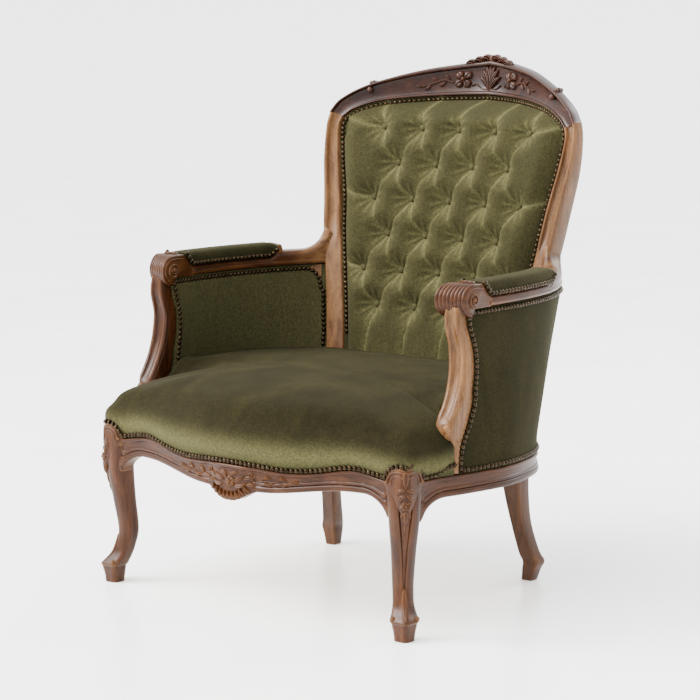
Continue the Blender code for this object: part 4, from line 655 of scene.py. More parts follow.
def arm_flare(x, y):
    """Height of the hollow sweep in which the arm's rear rises round the outer front corner of the stile."""
    level = ARM_UNDERSIDE + ARM_TOP_RISE
    ahead = back_front(x, level) - y
    beside = x - stile_edge(level, 2)
    away = math.hypot(max(0.0, ahead), max(0.0, beside))
    if away > 0:
        reach = max(0.0, ARM_FLARE_RADIUS - away)
        return ARM_FLARE_RADIUS - math.sqrt(ARM_FLARE_RADIUS**2 - reach**2)
    return max(0.0, ARM_FLARE_RADIUS + 2 * max(ahead, beside))


def arm_half_width(run):
    length = arm_line(81)[1]
    front = mix(ARM_ROLL_HALF_WIDTH, ARM_HALF_WIDTH, smooth((run - ARM_ROLL_RADIUS) / ARM_NECK_RUN))
    return mix(front, ARM_REAR_HALF_WIDTH, smooth((run - ARM_PAD_END) / (length - ARM_PAD_END)))


@functools.cache
def post_row(share):
    return spline(outward(ARM_POST_STATIONS, 1), share)


def post_z(share):
    return mix(NAIL_LINE + POST_FOOT_RISE, ARM_UNDERSIDE + POST_HEAD_RISE, share)


def post_at(z):
    """Centre x and y, half width and half depth of the arm post at a height."""
    rows = [post_row(i / 60) for i in range(61)]
    for low, high in zip(rows, rows[1:]):
        if post_z(high[0]) >= z:
            t = (z - post_z(low[0])) / (post_z(high[0]) - post_z(low[0]))
            return [mix(a, b, t) for a, b in zip(low[1:], high[1:])]
    return rows[-1][1:]


def post_rear(z):
    _, y, _, half = post_at(z)
    return y + half


def leg_centre(shift):
    return HALF_WIDTH + shift * math.sqrt(0.5), FOOT_Y - shift * math.sqrt(0.5)


def side_wall(z, share):
    """Middle of the side's wall and its outward normal, from the arm post's rear to the stile."""
    side = side_line(81)[0]
    arm = arm_line(81)[0]
    start = post_rear(z)
    lower, n = at_y(side, mix(start, side[-1].y, share))
    upper, m = at_y(arm, mix(start, arm[-1].y, share))
    up = min(1.0, max(0.0, z / ARM_UNDERSIDE))
    return (lower - n * SIDE_WALL_INSET).lerp(upper, up), n.lerp(m, up).normalized()


FRONT_REACH = front_y(0.0) - SHELL_RELIEF
REAR_REACH = back_front(0.0, crest_rows(2)[-1][3]) + FRAME_DEPTH
ORIGIN = Vector((0.0, -(FRONT_REACH + REAR_REACH) / 2, SEAT_FRAME_HEIGHT))


# Materials


class Look:
    """A material under construction: short calls for nodes, links and colour ramps."""

    def __init__(self, name):
        self.material = bpy.data.materials.new(name)
        self.material.use_nodes = True
        self.tree = self.material.node_tree
        self.shader = self.tree.nodes["Principled BSDF"]

    def node(self, kind, settings=None, **inputs):
        made = self.tree.nodes.new(f"ShaderNode{kind}")
        for key, value in (settings or {}).items():
            setattr(made, key, value)
        for key, value in inputs.items():
            self.feed(made.inputs[key.replace("_", " ")], value)
        return made

    def feed(self, socket, value):
        if isinstance(value, bpy.types.NodeSocket):
            self.tree.links.new(value, socket)
        else:
            socket.default_value = value

    def set(self, **inputs):
        for key, value in inputs.items():
            self.feed(self.shader.inputs[key.replace("_", " ")], value)
        return self

    def coords(self, scale):
        place = self.node("TexCoord").outputs["Object"]
        return self.node("Mapping", Vector=place, Scale=scale).outputs["Vector"]

    def noise(self, scale, detail=3.0, rough=0.5, warp=0.0):
        made = self.node(
            "TexNoise", Vector=self.coords(scale), Scale=1.0, Detail=detail, Roughness=rough, Distortion=warp
        )
        return made.outputs["Fac"]

    def ramp(self, fac, *stops):
        made = self.node("ValToRGB", Fac=fac)
        band = made.color_ramp.elements
        while len(band) < len(stops):
            band.new(0.5)
        for element, (place, colour) in zip(band, stops):
            element.position = place
            element.color = (*colour, 1.0) if len(colour) == 3 else colour
        return made.outputs["Color"]

    def span(self, fac, low, high, to_low, to_high):
        made = self.node("MapRange", Value=fac, From_Min=low, From_Max=high, To_Min=to_low, To_Max=to_high)
        return made.outputs["Result"]

    def blend(self, kind, fac, a, b):
        made = self.node("Mix", {"data_type": "RGBA", "blend_type": kind})
        self.feed(made.inputs["Factor"], fac)
        self.feed(made.inputs[6], a)
        self.feed(made.inputs[7], b)
        return made.outputs[2]

    def bump(self, height, strength, distance):
        made = self.node("Bump", Height=height, Strength=strength, Distance=distance)
        self.feed(self.shader.inputs["Normal"], made.outputs["Normal"])
        return self


def wood(name, along, dark, light, worn, gloss=0.13, paler=None):
    """Waxed walnut with its grain along one axis, darker in the hollows with dark wax and painted shade, and
    worn lighter on the edges.

    A paler palette takes over by the mesh's tone.
    """
    look = Look(name)
    figure_scale = [55.0, 55.0, 55.0]
    pore_scale = [900.0, 900.0, 900.0]
    figure_scale[along] = 5.0
    pore_scale[along] = 45.0
    figure = look.noise(figure_scale, 7.0, 0.62, 0.9)
    pores = look.noise(pore_scale, 2.0, 0.5)
    cloud = look.noise((7.0, 7.0, 7.0), 2.0)
    point = look.node("NewGeometry").outputs["Pointiness"]
    middle = [mix(a, b, 0.45) for a, b in zip(dark, light)]
    colour = look.ramp(figure, (0.30, dark), (0.52, middle), (0.72, light))
    if paler:
        share = look.node("Attribute", {"attribute_name": "tone"}).outputs["Fac"]
        colour = look.blend("MIX", share, colour, look.ramp(figure, (0.30, paler[0]), (0.72, paler[1])))
    pitted = look.ramp(pores, (0.34, (0.35, 0.30, 0.28)), (0.52, (1.0, 1.0, 1.0)))
    colour = look.blend("MULTIPLY", 0.55, colour, pitted)
    clouded = look.ramp(cloud, (0.35, (0.62, 0.58, 0.55)), (0.65, (1.15, 1.1, 1.05)))
    colour = look.blend("MULTIPLY", 0.6, colour, clouded)
    # Hollows painted darker by pointiness: dark wax there and painted shade.
    hollow = look.ramp(point, (0.40, (0.08, 0.06, 0.05)), (0.49, (1.0, 1.0, 1.0)))
    colour = look.blend("MULTIPLY", 0.9, colour, hollow)
    edge = look.span(point, 0.515, 0.60, 0.0, 0.5)
    colour = look.blend("MIX", edge, colour, (*worn, 1.0))
    look.set(Base_Color=colour, Roughness=look.span(pores, 0.3, 0.7, 0.42, 0.27))
    look.set(Coat_Weight=gloss / 3, Coat_Roughness=0.16, Specular_IOR_Level=gloss)
    return look.bump(pores, 0.22, 0.0004).material


def velvet(name, dark, light, painted_sheen_colour):
    """Short-pile velvet: brushed patches, rubbed spots, fine pile, and painted sheen mixed in by the mesh's
    tone.
    """
    look = Look(name)
    brushed = look.noise((9.0, 9.0, 5.0), 4.0, 0.55, 0.8)
    streak = look.noise((160.0, 160.0, 18.0), 3.0, 0.6)
    pile = look.noise((560.0, 560.0, 560.0), 3.0, 0.7)
    # Painted sheen: the mesh's tone mixes in a lighter colour where highlights and light are painted.
    painted_sheen = look.node("Attribute", {"attribute_name": "tone"}).outputs["Fac"]
    colour = look.ramp(brushed, (0.32, dark), (0.70, light))
    colour = look.blend("MIX", painted_sheen, colour, (*painted_sheen_colour, 1.0))
    brush_marks = look.ramp(streak, (0.3, (0.7, 0.7, 0.7)), (0.7, (1.3, 1.3, 1.25)))
    colour = look.blend("MULTIPLY", 0.25, colour, brush_marks)
    rubbed = look.noise((230.0, 230.0, 230.0), 2.0, 0.6)
    mottle = look.ramp(rubbed, (0.36, (0.5, 0.5, 0.48)), (0.64, (1.55, 1.52, 1.4)))
    colour = look.blend("MULTIPLY", 0.34, colour, mottle)
    tufts = look.ramp(pile, (0.34, (0.35, 0.35, 0.32)), (0.66, (1.7, 1.7, 1.6)))
    colour = look.blend("MULTIPLY", 0.60, colour, tufts)
    look.set(Base_Color=colour, Roughness=0.9, Specular_IOR_Level=0.05)
    look.set(Sheen_Weight=0.075, Sheen_Roughness=0.40, Sheen_Tint=(0.52, 0.49, 0.27, 1.0))
    return look.bump(pile, 0.35, 0.0006).material


def brass():
    look = Look("antique_brass")
    tarnish = look.noise((220.0, 220.0, 220.0), 4.0, 0.6)
    colour = look.ramp(tarnish, (0.35, (0.010, 0.0064, 0.0037)), (0.75, (0.055, 0.037, 0.019)))
    look.set(Base_Color=colour, Metallic=1.0, Roughness=look.span(tarnish, 0.3, 0.7, 0.50, 0.30))
    return look.bump(tarnish, 0.15, 0.0004).material


def cloth(name, dark, light, pitch):
    """Plain weave of threads at a pitch, across both ways."""
    look = Look(name)
    scale = 1.0 / pitch
    waves = []
    for axis in ("X", "Y"):
        made = look.node(
            "TexWave",
            {"wave_type": "BANDS", "bands_direction": axis},
            Vector=look.coords((scale, scale, scale)),
            Scale=0.32,
            Distortion=1.2,
            Detail=2.0,
        )
        waves.append(made.outputs["Fac"])
    weave = look.node("Math", {"operation": "MAXIMUM"})
    for socket, wave in zip(weave.inputs, waves):
        look.feed(socket, wave)
    height = weave.outputs["Value"]
    fray = look.noise((90.0, 90.0, 90.0), 4.0, 0.6)
    colour = look.ramp(height, (0.2, dark), (0.9, light))
    frayed = look.ramp(fray, (0.3, (0.75, 0.72, 0.68)), (0.7, (1.1, 1.1, 1.1)))
    colour = look.blend("MULTIPLY", 0.5, colour, frayed)
    look.set(Base_Color=colour, Roughness=0.9, Specular_IOR_Level=0.2)
    return look.bump(height, 0.4, 0.0006).material


def spring_steel():
    look = Look("dark_spring_steel")
    rust = look.noise((260.0, 260.0, 260.0), 4.0, 0.6)
    colour = look.ramp(rust, (0.4, (0.10, 0.10, 0.105)), (0.75, (0.34, 0.32, 0.30)))
    look.set(Base_Color=colour, Metallic=1.0, Roughness=look.span(rust, 0.3, 0.7, 0.55, 0.35))
    return look.bump(rust, 0.1, 0.0003).material


DARK = ((0.0062, 0.0014, 0.0007), (0.030, 0.0085, 0.0034), (0.085, 0.032, 0.015))
WARM = ((0.0155, 0.0042, 0.0012), (0.070, 0.0240, 0.0068), (0.150, 0.065, 0.0215))
GOLD = ((0.050, 0.0195, 0.0068), (0.175, 0.088, 0.0350))
# Olive velvet: dark and light pile, then the lighter colour used for its painted sheen.
OLIVE = ((0.0055, 0.0045, 0.0014), (0.0125, 0.0108, 0.0037), (0.066, 0.063, 0.028))
BEECH = ((0.36, 0.22, 0.11), (0.60, 0.42, 0.24), (0.66, 0.48, 0.30))
LOOKS = {
    "crest": wood("walnut_dark_across", 0, *DARK, 0.15),
    "rail_front": wood("walnut_across", 0, *WARM),
    "rail_side": wood("walnut_lengthways", 1, *WARM),
    "leg": wood("walnut_upright", 2, *WARM),
    "arm": wood("walnut_arm", 1, *WARM, paler=GOLD),
    "stile": wood("walnut_golden_upright", 2, *WARM, paler=GOLD),
    "beech_lengthways": wood("beech_lengthways", 1, *BEECH),
    "velvet": velvet("olive_velvet", *OLIVE),
    "brass": brass(),
    "calico": cloth("calico_weave", (0.55, 0.48, 0.33), (0.80, 0.74, 0.58), 0.0011),
    "hessian": cloth("hessian_weave", (0.24, 0.16, 0.08), (0.52, 0.40, 0.24), 0.0026),
    "jute": cloth("jute_weave", (0.22, 0.14, 0.07), (0.50, 0.36, 0.20), 0.0020),
    "steel": spring_steel(),
}


# Meshes


def piece(name, shape, look, stands_for=(), sharp=WOOD_SHARP, tone=None):
    """A piece of the looks from points and faces in the chair's own frame.

    Edges stay sharp where they turn by more degrees than sharp. Tone, where given, has one share for
    each point: how much painted sheen the velvet has there, or how golden wood is (less at the rear feet as
    painted shade).
    """
    verts, faces = shape
    mesh = bpy.data.meshes.new(name)
    mesh.from_pydata([Vector(v) + ORIGIN for v in verts], [], faces)
    bm = bmesh.new()
    bm.from_mesh(mesh)
    bmesh.ops.recalc_face_normals(bm, faces=bm.faces)
    bm.to_mesh(mesh)
    bm.free()
    if tone is not None:
        mesh.attributes.new("tone", "FLOAT", "POINT").data.foreach_set("value", tone)
    mesh.materials.append(LOOKS[look])
    mesh.shade_smooth()
    mesh.set_sharp_from_angle(angle=math.radians(sharp))
    made = bpy.data.objects.new(name, mesh)
    bpy.context.scene.collection.objects.link(made)
    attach(made, "root")
    if stands_for:
        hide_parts(*stands_for)
    return made


def loft(rings):
    """Points and faces of a closed solid through rings of equal point counts."""
    count = len(rings[0])
    verts = [Vector(p) for ring in rings for p in ring]
    faces = []
    for r in range(len(rings) - 1):
        for i in range(count):
            j = (i + 1) % count
            faces.append((r * count + i, r * count + j, (r + 1) * count + j, (r + 1) * count + i))
    last = (len(rings) - 1) * count
    faces.append(tuple(range(count - 1, -1, -1)))
    faces.append(tuple(range(last, last + count)))
    return verts, faces


def join(*shapes):
    verts = []
    faces = []
    for more, around in shapes:
        faces += [tuple(i + len(verts) for i in face) for face in around]
        verts += more
    return verts, faces


def side_of(shape, side):
    verts, faces = shape
    return [Vector((v[0] * side, v[1], v[2])) for v in verts], faces


def both(shape):
    """A shape with its mirror image on the other side."""
    return join(shape, side_of(shape, -1))


def sheet_of(front, back):
    """Closed slab from two grids of points with equal counts, row by row."""
    rows, columns = len(front), len(front[0])
    verts = [Vector(p) for row in front for p in row] + [Vector(p) for row in back for p in row]
    faces = []
    for r in range(rows - 1):
        for c in range(columns - 1):
            a, b = r * columns + c, (r + 1) * columns + c
            faces.append((a, a + 1, b + 1, b))
            faces.append(tuple(i + rows * columns for i in (b, b + 1, a + 1, a)))
    rim = list(range(columns))
    rim += [r * columns + columns - 1 for r in range(1, rows)]
    rim += [(rows - 1) * columns + c for c in range(columns - 2, -1, -1)]
    rim += [r * columns for r in range(rows - 2, 0, -1)]
    for a, b in zip(rim, rim[1:] + rim[:1]):
        faces.append((a, b, b + rows * columns, a + rows * columns))
    return verts, faces


def dome(at, normal, radius, height, around=10):
    """Low dome that stands on a surface, as of a nail or a button."""
    normal = Vector(normal).normalized()
    u = normal.orthogonal().normalized()
    v = normal.cross(u)
    verts = []
    for reach, up in DOME_RINGS:
        for c, s in circle(around):
            verts.append(Vector(at) + (u * c + v * s) * reach * radius + normal * up * height)
    faces = [tuple(range(around))]
    for r in range(len(DOME_RINGS) - 1):
        for k in range(around):
            j = (k + 1) % around
            faces.append((r * around + k, (r + 1) * around + k, (r + 1) * around + j, r * around + j))
    verts.append(Vector(at) + normal * height)
    start = (len(DOME_RINGS) - 1) * around
    for k in range(around):
        faces.append((start + k, len(verts) - 1, start + (k + 1) % around))
    return verts, faces


def ball(at, radius, around=14, levels=9):
    """Turned or carved ball."""
    rings = []
    for k in range(1, levels):
        turn = math.pi * k / levels
        flat, up = radius * math.sin(turn), radius * math.cos(turn)
        rings.append([Vector(at) + Vector((flat * c, flat * s, up)) for c, s in circle(around)])
    return loft(rings)


def nail_row(points, outs):
    """Dome nails at an even pitch along a line of points; outs are the directions that they face."""
    line, length = evenly(points, 200, curved=False)
    count = max(2, round(length / NAIL_PITCH) + 1)
    facing = [Vector(n) for n in outs]
    shapes = []
    for k, p in enumerate(evenly(line, count, curved=False)[0]):
        place = k / (count - 1) * (len(facing) - 1)
        i = min(int(place), len(facing) - 2)
        shapes.append(dome(p, facing[i].lerp(facing[i + 1], place - i), NAIL_RADIUS, NAIL_HEIGHT))
    return join(*shapes)


def carve(surface, spine, width, height, rows=13, columns=9, vein=0.3):
    """Leaf or stem raised on a surface.

    The spine has points in the surface's own two directions. Half width and height go by the share along it.
    """
    line = resample(spine, rows)
    front = []
    back = []
    for r, p in enumerate(line):
        ahead, behind = line[min(r + 1, rows - 1)], line[max(r - 1, 0)]
        d = Vector((ahead[0] - behind[0], ahead[1] - behind[1])).normalized()
        t = r / (rows - 1)
        top = []
        under = []
        for c in range(columns):
            s = 2 * c / (columns - 1) - 1
            at, n = surface(p[0] - d.y * width(t) * s, p[1] + d.x * width(t) * s)
            crown = math.sqrt(max(0.0, 1 - s * s)) * (1 - vein * math.exp(-((s / VEIN_WIDTH) ** 2)))
            top.append(at + n * (height(t) * crown - CARVE_SINK))
            under.append(at - n * CARVE_ROOT)
        front.append(top)
        back.append(under)
    return sheet_of(front, back)


def leaf_width(most, peak=0.4):
    return lambda t: most * max(0.06, math.sin(math.pi * t ** (math.log(0.5) / math.log(peak))) ** 0.8)


def evenly_high(most):
    return lambda t: most * max(0.25, math.sin(math.pi * min(1.0, 0.15 + 0.75 * t)) ** 0.6)


def leaf(surface, spine, width, height, peak=0.4, vein=0.3):
    return carve(surface, spine, leaf_width(width, peak), evenly_high(height), vein=vein)


def stem(surface, spine, width, height, thin=0.7, rows=21):
    """Plain raised stem, thinner towards its end."""
    return carve(surface, spine, lambda t: width * mix(1.0, thin, t), lambda t: height, rows, 7, 0.0)


def scroll(surface, at, radius, turns, width, height, spin=1, start=0.0):
    """Spiral stem that winds in to a round eye."""
    spine = []
    for k in range(25):
        t = k / 24
        reach = radius * mix(1.0, 0.22, t)
        turn = start + spin * 2 * math.pi * turns * t
        spine.append((at[0] + reach * math.cos(turn), at[1] + reach * math.sin(turn)))
    eye, n = surface(*at)
    curl = stem(surface, spine, width, height, 0.6, 33)
    return join(curl, dome(eye, n, radius * 0.30, height * 1.3, 12))


def flower(surface, at, radius, petals, height):
    shapes = []
    for k in range(petals):
        turn = 2 * math.pi * (k + 0.5) / petals
        tip = (at[0] + radius * math.cos(turn), at[1] + radius * math.sin(turn))
        middle = [mix(a, b, 0.5) for a, b in zip(at, tip)]
        shapes.append(leaf(surface, [at, middle, tip], PETAL_WIDTH * radius, height, PETAL_PEAK))
    eye, n = surface(*at)
    shapes.append(dome(eye + n * height * 0.3, n, radius * 0.24, height, 12))
    return join(*shapes)


def carved(make, surface, rows, sides=(1, -1)):
    """Stems or leaves from rows of spine, half width and height, once for each side."""
    shapes = []
    for s in sides:
        for spine, width, height in rows:
            shapes.append(make(surface, [(x * s, z) for x, z in spine], width, height))
    return shapes


# Show wood


def rounded_ring(cx, cy, half_x, half_y, radius, steps):
    """Plan points round a rectangle with rounded corners, each with its outward normal."""
    ring = []
    for turn in range(4):
        sx = (1, -1, -1, 1)[turn]
        sy = (1, 1, -1, -1)[turn]
        for step in range(steps + 1):
            angle = math.radians(90 * turn + 90 * step / steps)
            n = Vector((math.cos(angle), math.sin(angle)))
            corner = Vector((cx + sx * (half_x - radius), cy + sy * (half_y - radius)))
            ring.append((corner + n * radius, n))
    return ring


def filled_ring(ring, parts):
    """The ring with the straight stretches between its corners divided, so that mouldings can run on them."""
    filled = []
    steps = len(ring) // 4
    for turn in range(4):
        filled += ring[turn * steps : (turn + 1) * steps]
        (a, n), (b, m) = ring[(turn + 1) * steps - 1], ring[((turn + 1) * steps) % len(ring)]
        filled += [(a.lerp(b, k / parts), n.lerp(m, k / parts).normalized()) for k in range(1, parts)]
    return filled


@functools.cache
def leg_row(z):
    """Shift and side of the front leg at a height."""
    share = (z + SEAT_FRAME_HEIGHT) / (SEAT_FRAME_HEIGHT - LEG_BLOCK_DROP)
    rows = resample(LEG_STATIONS, 121)
    for low, high in zip(rows, rows[1:]):
        if share <= high[0]:
            t = (share - low[0]) / (high[0] - low[0])
            return mix(low[1], high[1], t), mix(low[2], high[2], t)
    return rows[-1][1], rows[-1][2]


def leg_reach(side):
    """Half of the leg's width across its diagonal."""
    radius = LEG_CORNER_RADIUS * side
    return (side / 2 - radius) * math.sqrt(2) + radius


def leg_front(e, side):
    """Reach of the leg's outward faces along the diagonal at a place across it, and the normal there."""
    radius = LEG_CORNER_RADIUS * side
    corner = (side / 2 - radius) * math.sqrt(2)
    turn = radius * ROOT_HALF
    if abs(e) <= turn:
        lean = math.sqrt(radius**2 - e * e)
        return corner + lean, (lean / radius, e / radius)
    if abs(e) >= corner + turn:
        over = min(abs(e) - corner, radius)
        lean = math.sqrt(radius**2 - over**2)
        return lean, (lean / radius, math.copysign(over / radius, e))
    return side * ROOT_HALF - abs(e), (ROOT_HALF, math.copysign(ROOT_HALF, e))


def leg_surface(e, z):
    """Point and normal on the outward faces of the front leg, e across its diagonal."""
    shift, side = leg_row(z)
    x, y = leg_centre(shift)
    reach, (ahead, beside) = leg_front(e, side)
    p = Vector((x, y)) + OUTWARDS * reach + ACROSS * e
    n = OUTWARDS * ahead + ACROSS * beside
    return Vector((p.x, p.y, z)), Vector((n.x, n.y, 0.0))


def foot_lift(high):
    """How far the foot stands out of the plain leg at a height: a block under a collar."""
    if high < FOOT_BLOCK_HEIGHT:
        return mix(FOOT_BLOCK_LIFT, -FOOT_COLLAR_LIFT, high / FOOT_BLOCK_HEIGHT)
    risen = mix(-FOOT_COLLAR_LIFT, FOOT_COLLAR_LIFT, smooth((high - FOOT_BLOCK_HEIGHT) / FOOT_COLLAR_STEP))
    return risen * (1 - smooth((high - FOOT_BLOCK_HEIGHT - 2 * FOOT_COLLAR_STEP) / FOOT_COLLAR_RUN))


def leg_ring(share, z):
    """Ring of the leg: a sunk panel on the outward corner, tapering down between two rounded bands."""
    shift, side = leg_row(z)
    x, y = leg_centre(shift)
    reach = leg_reach(side)
    foot = foot_lift(z + SEAT_FRAME_HEIGHT)
    panel = reach * mix(0.10, 0.50, smooth((share - 0.22) / 0.78))
    fade = smooth((share - 0.17) / 0.10)
    front = []
    for k in range(14):
        t = k / 13
        front.append((mix(reach, panel, t), LEG_BAND_LIFT * math.sin(math.pi * t) ** 0.7))
    front += [(panel * (0.98 - 1.96 * k / 14), -LEG_PANEL_SINK) for k in range(15)]
    front += [(-e, lift) for e, lift in reversed(front[:14])]
    ring = []
    for e, lift in front:
        at, n = leg_surface(e, z)
        ring.append(at + n * (lift * fade + foot))
    for k in range(1, 20):
        e = reach * math.cos(math.pi - math.pi * k / 20)
        back, (ahead, beside) = leg_front(e, side)
        p = Vector((x, y)) - OUTWARDS * (back + ahead * foot) + ACROSS * (e + beside * foot)
        ring.append(Vector((p.x, p.y, z)))
    return ring


def leg_shape():
    """Cabriole leg with its block in the corner of the seat frame."""
    height = SEAT_FRAME_HEIGHT - LEG_BLOCK_DROP
    shares = [0.2 * k / 40 for k in range(40)] + [mix(0.2, 1.0, k / 72) for k in range(73)]
    rings = [leg_ring(share, share * height - SEAT_FRAME_HEIGHT) for share in shares]
    shift, side = leg_row(-LEG_BLOCK_DROP)
    x, y = leg_centre(shift)
    middle = Vector((x, y)) - OUTWARDS * (side - LEG_BLOCK_SIDE) * ROOT_HALF
    for z in (0.1 * LEG_BLOCK_DROP - LEG_BLOCK_DROP, 0.0):
        ring = []
        for p in rings[-1 if z < 0 else -2]:
            q = (Vector((p.x, p.y)) - Vector((x, y))) * LEG_BLOCK_SIDE / side
            ring.append(Vector((middle.x + q.x, middle.y + q.y, z)))
        rings.append(ring)
    return join(loft(rings), foot_carving())


def foot_carving():
    """A small ball on both sides of the foot's collar and a leaf down its front."""
    low = FOOT_BLOCK_HEIGHT + FOOT_COLLAR_STEP - SEAT_FRAME_HEIGHT
    reach = leg_reach(leg_row(low)[1])
    shapes = [leaf(leg_surface, [(e, low + up) for e, up in FOOT_LEAF], 0.0050, 0.0044)]
    for s in (1, -1):
        at, _ = leg_surface(FOOT_BALL_SHARE * reach * s, low + FOOT_BALL_RISE)
        shapes.append(ball(at, FOOT_BALL_RADIUS))
    return join(*shapes)


def cartouche_top(e):
    arch = CARTOUCHE_RISE * max(0.0, 1 - abs(e / CARTOUCHE_HALF) ** 3) ** 0.6
    return CARTOUCHE_LOW + arch - CARTOUCHE_DIP * math.exp(-((e / CARTOUCHE_DIP) ** 2))


def cartouche_surface(e, z):
    at, n = leg_surface(e, z)
    lift = CARTOUCHE_LIFT * smooth((z - CARTOUCHE_FOOT) / (CARTOUCHE_LOW - CARTOUCHE_FOOT))
    sunk = LEG_PANEL_SINK * smooth((CARTOUCHE_FOOT - z) / 0.010)
    return at + n * (lift - sunk), n


def cartouche_shape():
    """Carved head of the front leg: an arched plate with a hood of scrolls, and flowers hanging below."""
    front = []
    back = []
    for r in range(25):
        up = r / 24
        half = mix(CARTOUCHE_STEM, CARTOUCHE_HALF, smooth(1.25 * up))
        top = []
        under = []
        for c in range(45):
            f = 0.998 * (2 * c / 44 - 1)
            z = mix(CARTOUCHE_FOOT, cartouche_top(f * CARTOUCHE_HALF), up)
            at, n = cartouche_surface(f * half, z)
            rim = CARTOUCHE_LIFT * (1 - math.sqrt(1 - f**6))
            top.append(at - n * rim)
            under.append(at - n * CARTOUCHE_ROOT)
        front.append(top)
        back.append(under)
    on = cartouche_surface
    shapes = [sheet_of(front, back), flower(on, CARTOUCHE_FLOWER, 0.0088, 5, 0.0044)]
    shapes += carved(stem, on, CARTOUCHE_STEMS) + carved(leaf, on, CARTOUCHE_LEAVES)
    shapes += carved(leaf, on, CARTOUCHE_MIDDLE, (1,))
    return join(*shapes)


def frame_depth(s, thin):
    """Depth of a stile or crest, thinner towards its outer edge by a bevel at the back."""
    return mix(FRAME_DEPTH, thin, smooth((s - FRAME_BEVEL_START) / (1 - FRAME_BEVEL_START)))


def moulded_ring(inner, outer, depth, features, front):
    """Ring of a stile or crest: moulded front from the inner to the outer edge, plain rounded back."""
    steps = 44
    ring = []
    for k in range(steps + 1):
        s = k / steps
        x, z = mix(inner[0], outer[0], s), mix(inner[1], outer[1], s)
        turn = max(0.0, 1 - min(s, 1 - s) / FRAME_EDGE_SHARE)
        fall = FRAME_EDGE * (1 - math.sqrt(1 - turn * turn))
        ring.append(Vector((x, front(x, z) + fall - raised(s, features), z)))
    for s in FRAME_BACK_SHARES:
        turn = max(0.0, 1 - min(s, 1 - s) / FRAME_BACK_EDGE_SHARE)
        x, z = mix(inner[0], outer[0], s), mix(inner[1], outer[1], s)
        ring.append(Vector((x, front(x, z) + depth(s) - FRAME_EDGE * turn * turn, z)))
    return ring


def rear_leg_shape():
    rings = []
    for up, xi, xo, front, depth in resample(outward(REAR_LEG_STATIONS, 1, 2), 40):
        z = (up - 1) * SEAT_FRAME_HEIGHT
        rings.append(moulded_ring((xi, z), (xo, z), lambda s, d=depth: d, (), lambda x, z, y=front: y))
    rows = stile_rows(64)
    for k, (xi, zi, xo, zo) in enumerate(rows):
        fade = smooth((zi - ARM_UNDERSIDE - ARM_TOP_RISE) / STILE_FADE_RUN)
        thin = mix(FRAME_DEPTH, FRAME_THIN_EDGE, smooth((k - 30) / (len(rows) - 31)))
        moulding = [(centre, half, height * fade) for centre, half, height in STILE_MOULDING]
        depth = functools.partial(frame_depth, thin=thin)
        rings.append(moulded_ring((xi, zi), (xo, zo), depth, moulding, back_front))
    return loft(rings)


def crest_face(x, z):
    """Point and normal on the sunk face of the crest."""
    step = 0.002
    across = (back_front(x + step, z) - back_front(x - step, z)) / (2 * step)
    up = (back_front(x, z + step) - back_front(x, z - step)) / (2 * step)
    return Vector((x, back_front(x, z) + CREST_FACE_SINK, z)), Vector((across, -1.0, up)).normalized()


def edge_roll(x, z):
    """Small turned roll lying across the top edge of the crest."""
    y = back_front(x, z)
    rings = []
    for k in range(13):
        along = k / 12
        full = math.sin(math.pi * along) ** 0.25
        groove = math.sin(2 * math.pi * along) ** 8
        radius = ROLL_RADIUS * (mix(ROLL_END, 1.0, full) - ROLL_GROOVE * groove)
        at = Vector((x, y + ROLL_LENGTH * along, z))
        rings.append([at + Vector((radius * c, 0.0, radius * s)) for c, s in circle(16)])
    return loft(rings)


def crest_carving():
    """Palmette between two flowers with trailing buds on the crest, and a leaf finial on its top edge."""
    low = crest_rows(2)[-1][1]
    high = crest_rows(2)[-1][3]

    def on(x, up):
        return crest_face(x, low + up)

    def edge(x, up):
        return crest_face(x, high + up)

    leaves = []
    for tip, rise, width in PALMETTE_LEAVES:
        leaves.append((((0.002, 0.013), (0.55 * tip, 0.75 * rise), (tip, rise)), width, 0.0074))
    for x, rise, tip, tip_rise in CREST_BUDS:
        bend = (mix(x, tip, 0.5), mix(rise, tip_rise, 0.7))
        leaves.append((((x, rise), bend, (tip, tip_rise)), 0.0036, 0.0044))
    finial = []
    for x, tip, drop in FINIAL_LEAVES:
        finial.append((((x, -drop), (mix(x, tip, 0.5), 0.005 - drop), (tip, -1.3 * drop)), 0.0064, 0.0130))
    shapes = carved(stem, on, PALMETTE_STEM, (1,)) + carved(leaf, on, PALMETTE_MIDDLE, (1,))
    shapes += carved(leaf, on, leaves) + carved(stem, on, CREST_STEMS) + carved(leaf, edge, finial)
    xk, zk = min((row[2:4] for row in crest_rows(97)), key=lambda place: abs(place[0] - KNOB_X))
    for s in (1, -1):
        shapes.append(flower(on, (0.058 * s, 0.030), 0.0200, 4, 0.0080))
        for x, tip, drop in FINIAL_LEAVES:
            shapes.append(ball(edge(mix(x, tip, 0.8) * s, 0.002 - drop)[0], 0.0050))
        knob, n = crest_face(xk * s, zk - 2.2 * ROLL_RADIUS)
        shapes.append(ball(knob + n * ROLL_RADIUS, ROLL_RADIUS))
        shapes.append(edge_roll(xk * s, zk))
    shapes.append(ball(edge(0.0, 0.001)[0], 0.0080))
    return join(*shapes)


def crest_shape():
    half = crest_rows(49)
    whole = half + [(-xi, zi, -xo, zo) for xi, zi, xo, zo in reversed(half[:-1])]
    depth = functools.partial(frame_depth, thin=FRAME_THIN_EDGE)
    rings = [moulded_ring(row[:2], row[2:], depth, CREST_MOULDING, back_front) for row in whole]
    return join(loft(rings), crest_carving())


def knee_arch(ahead):
    """Drop and slope of a rail's lower edge where it turns down into the leg, by the way into the turn."""
    d = min(max(ahead / KNEE_RUN, 0.0), 0.98)
    lean = math.sqrt(1 - d * d)
    return KNEE_DROP * (1 - lean), KNEE_DROP / KNEE_RUN * d / lean


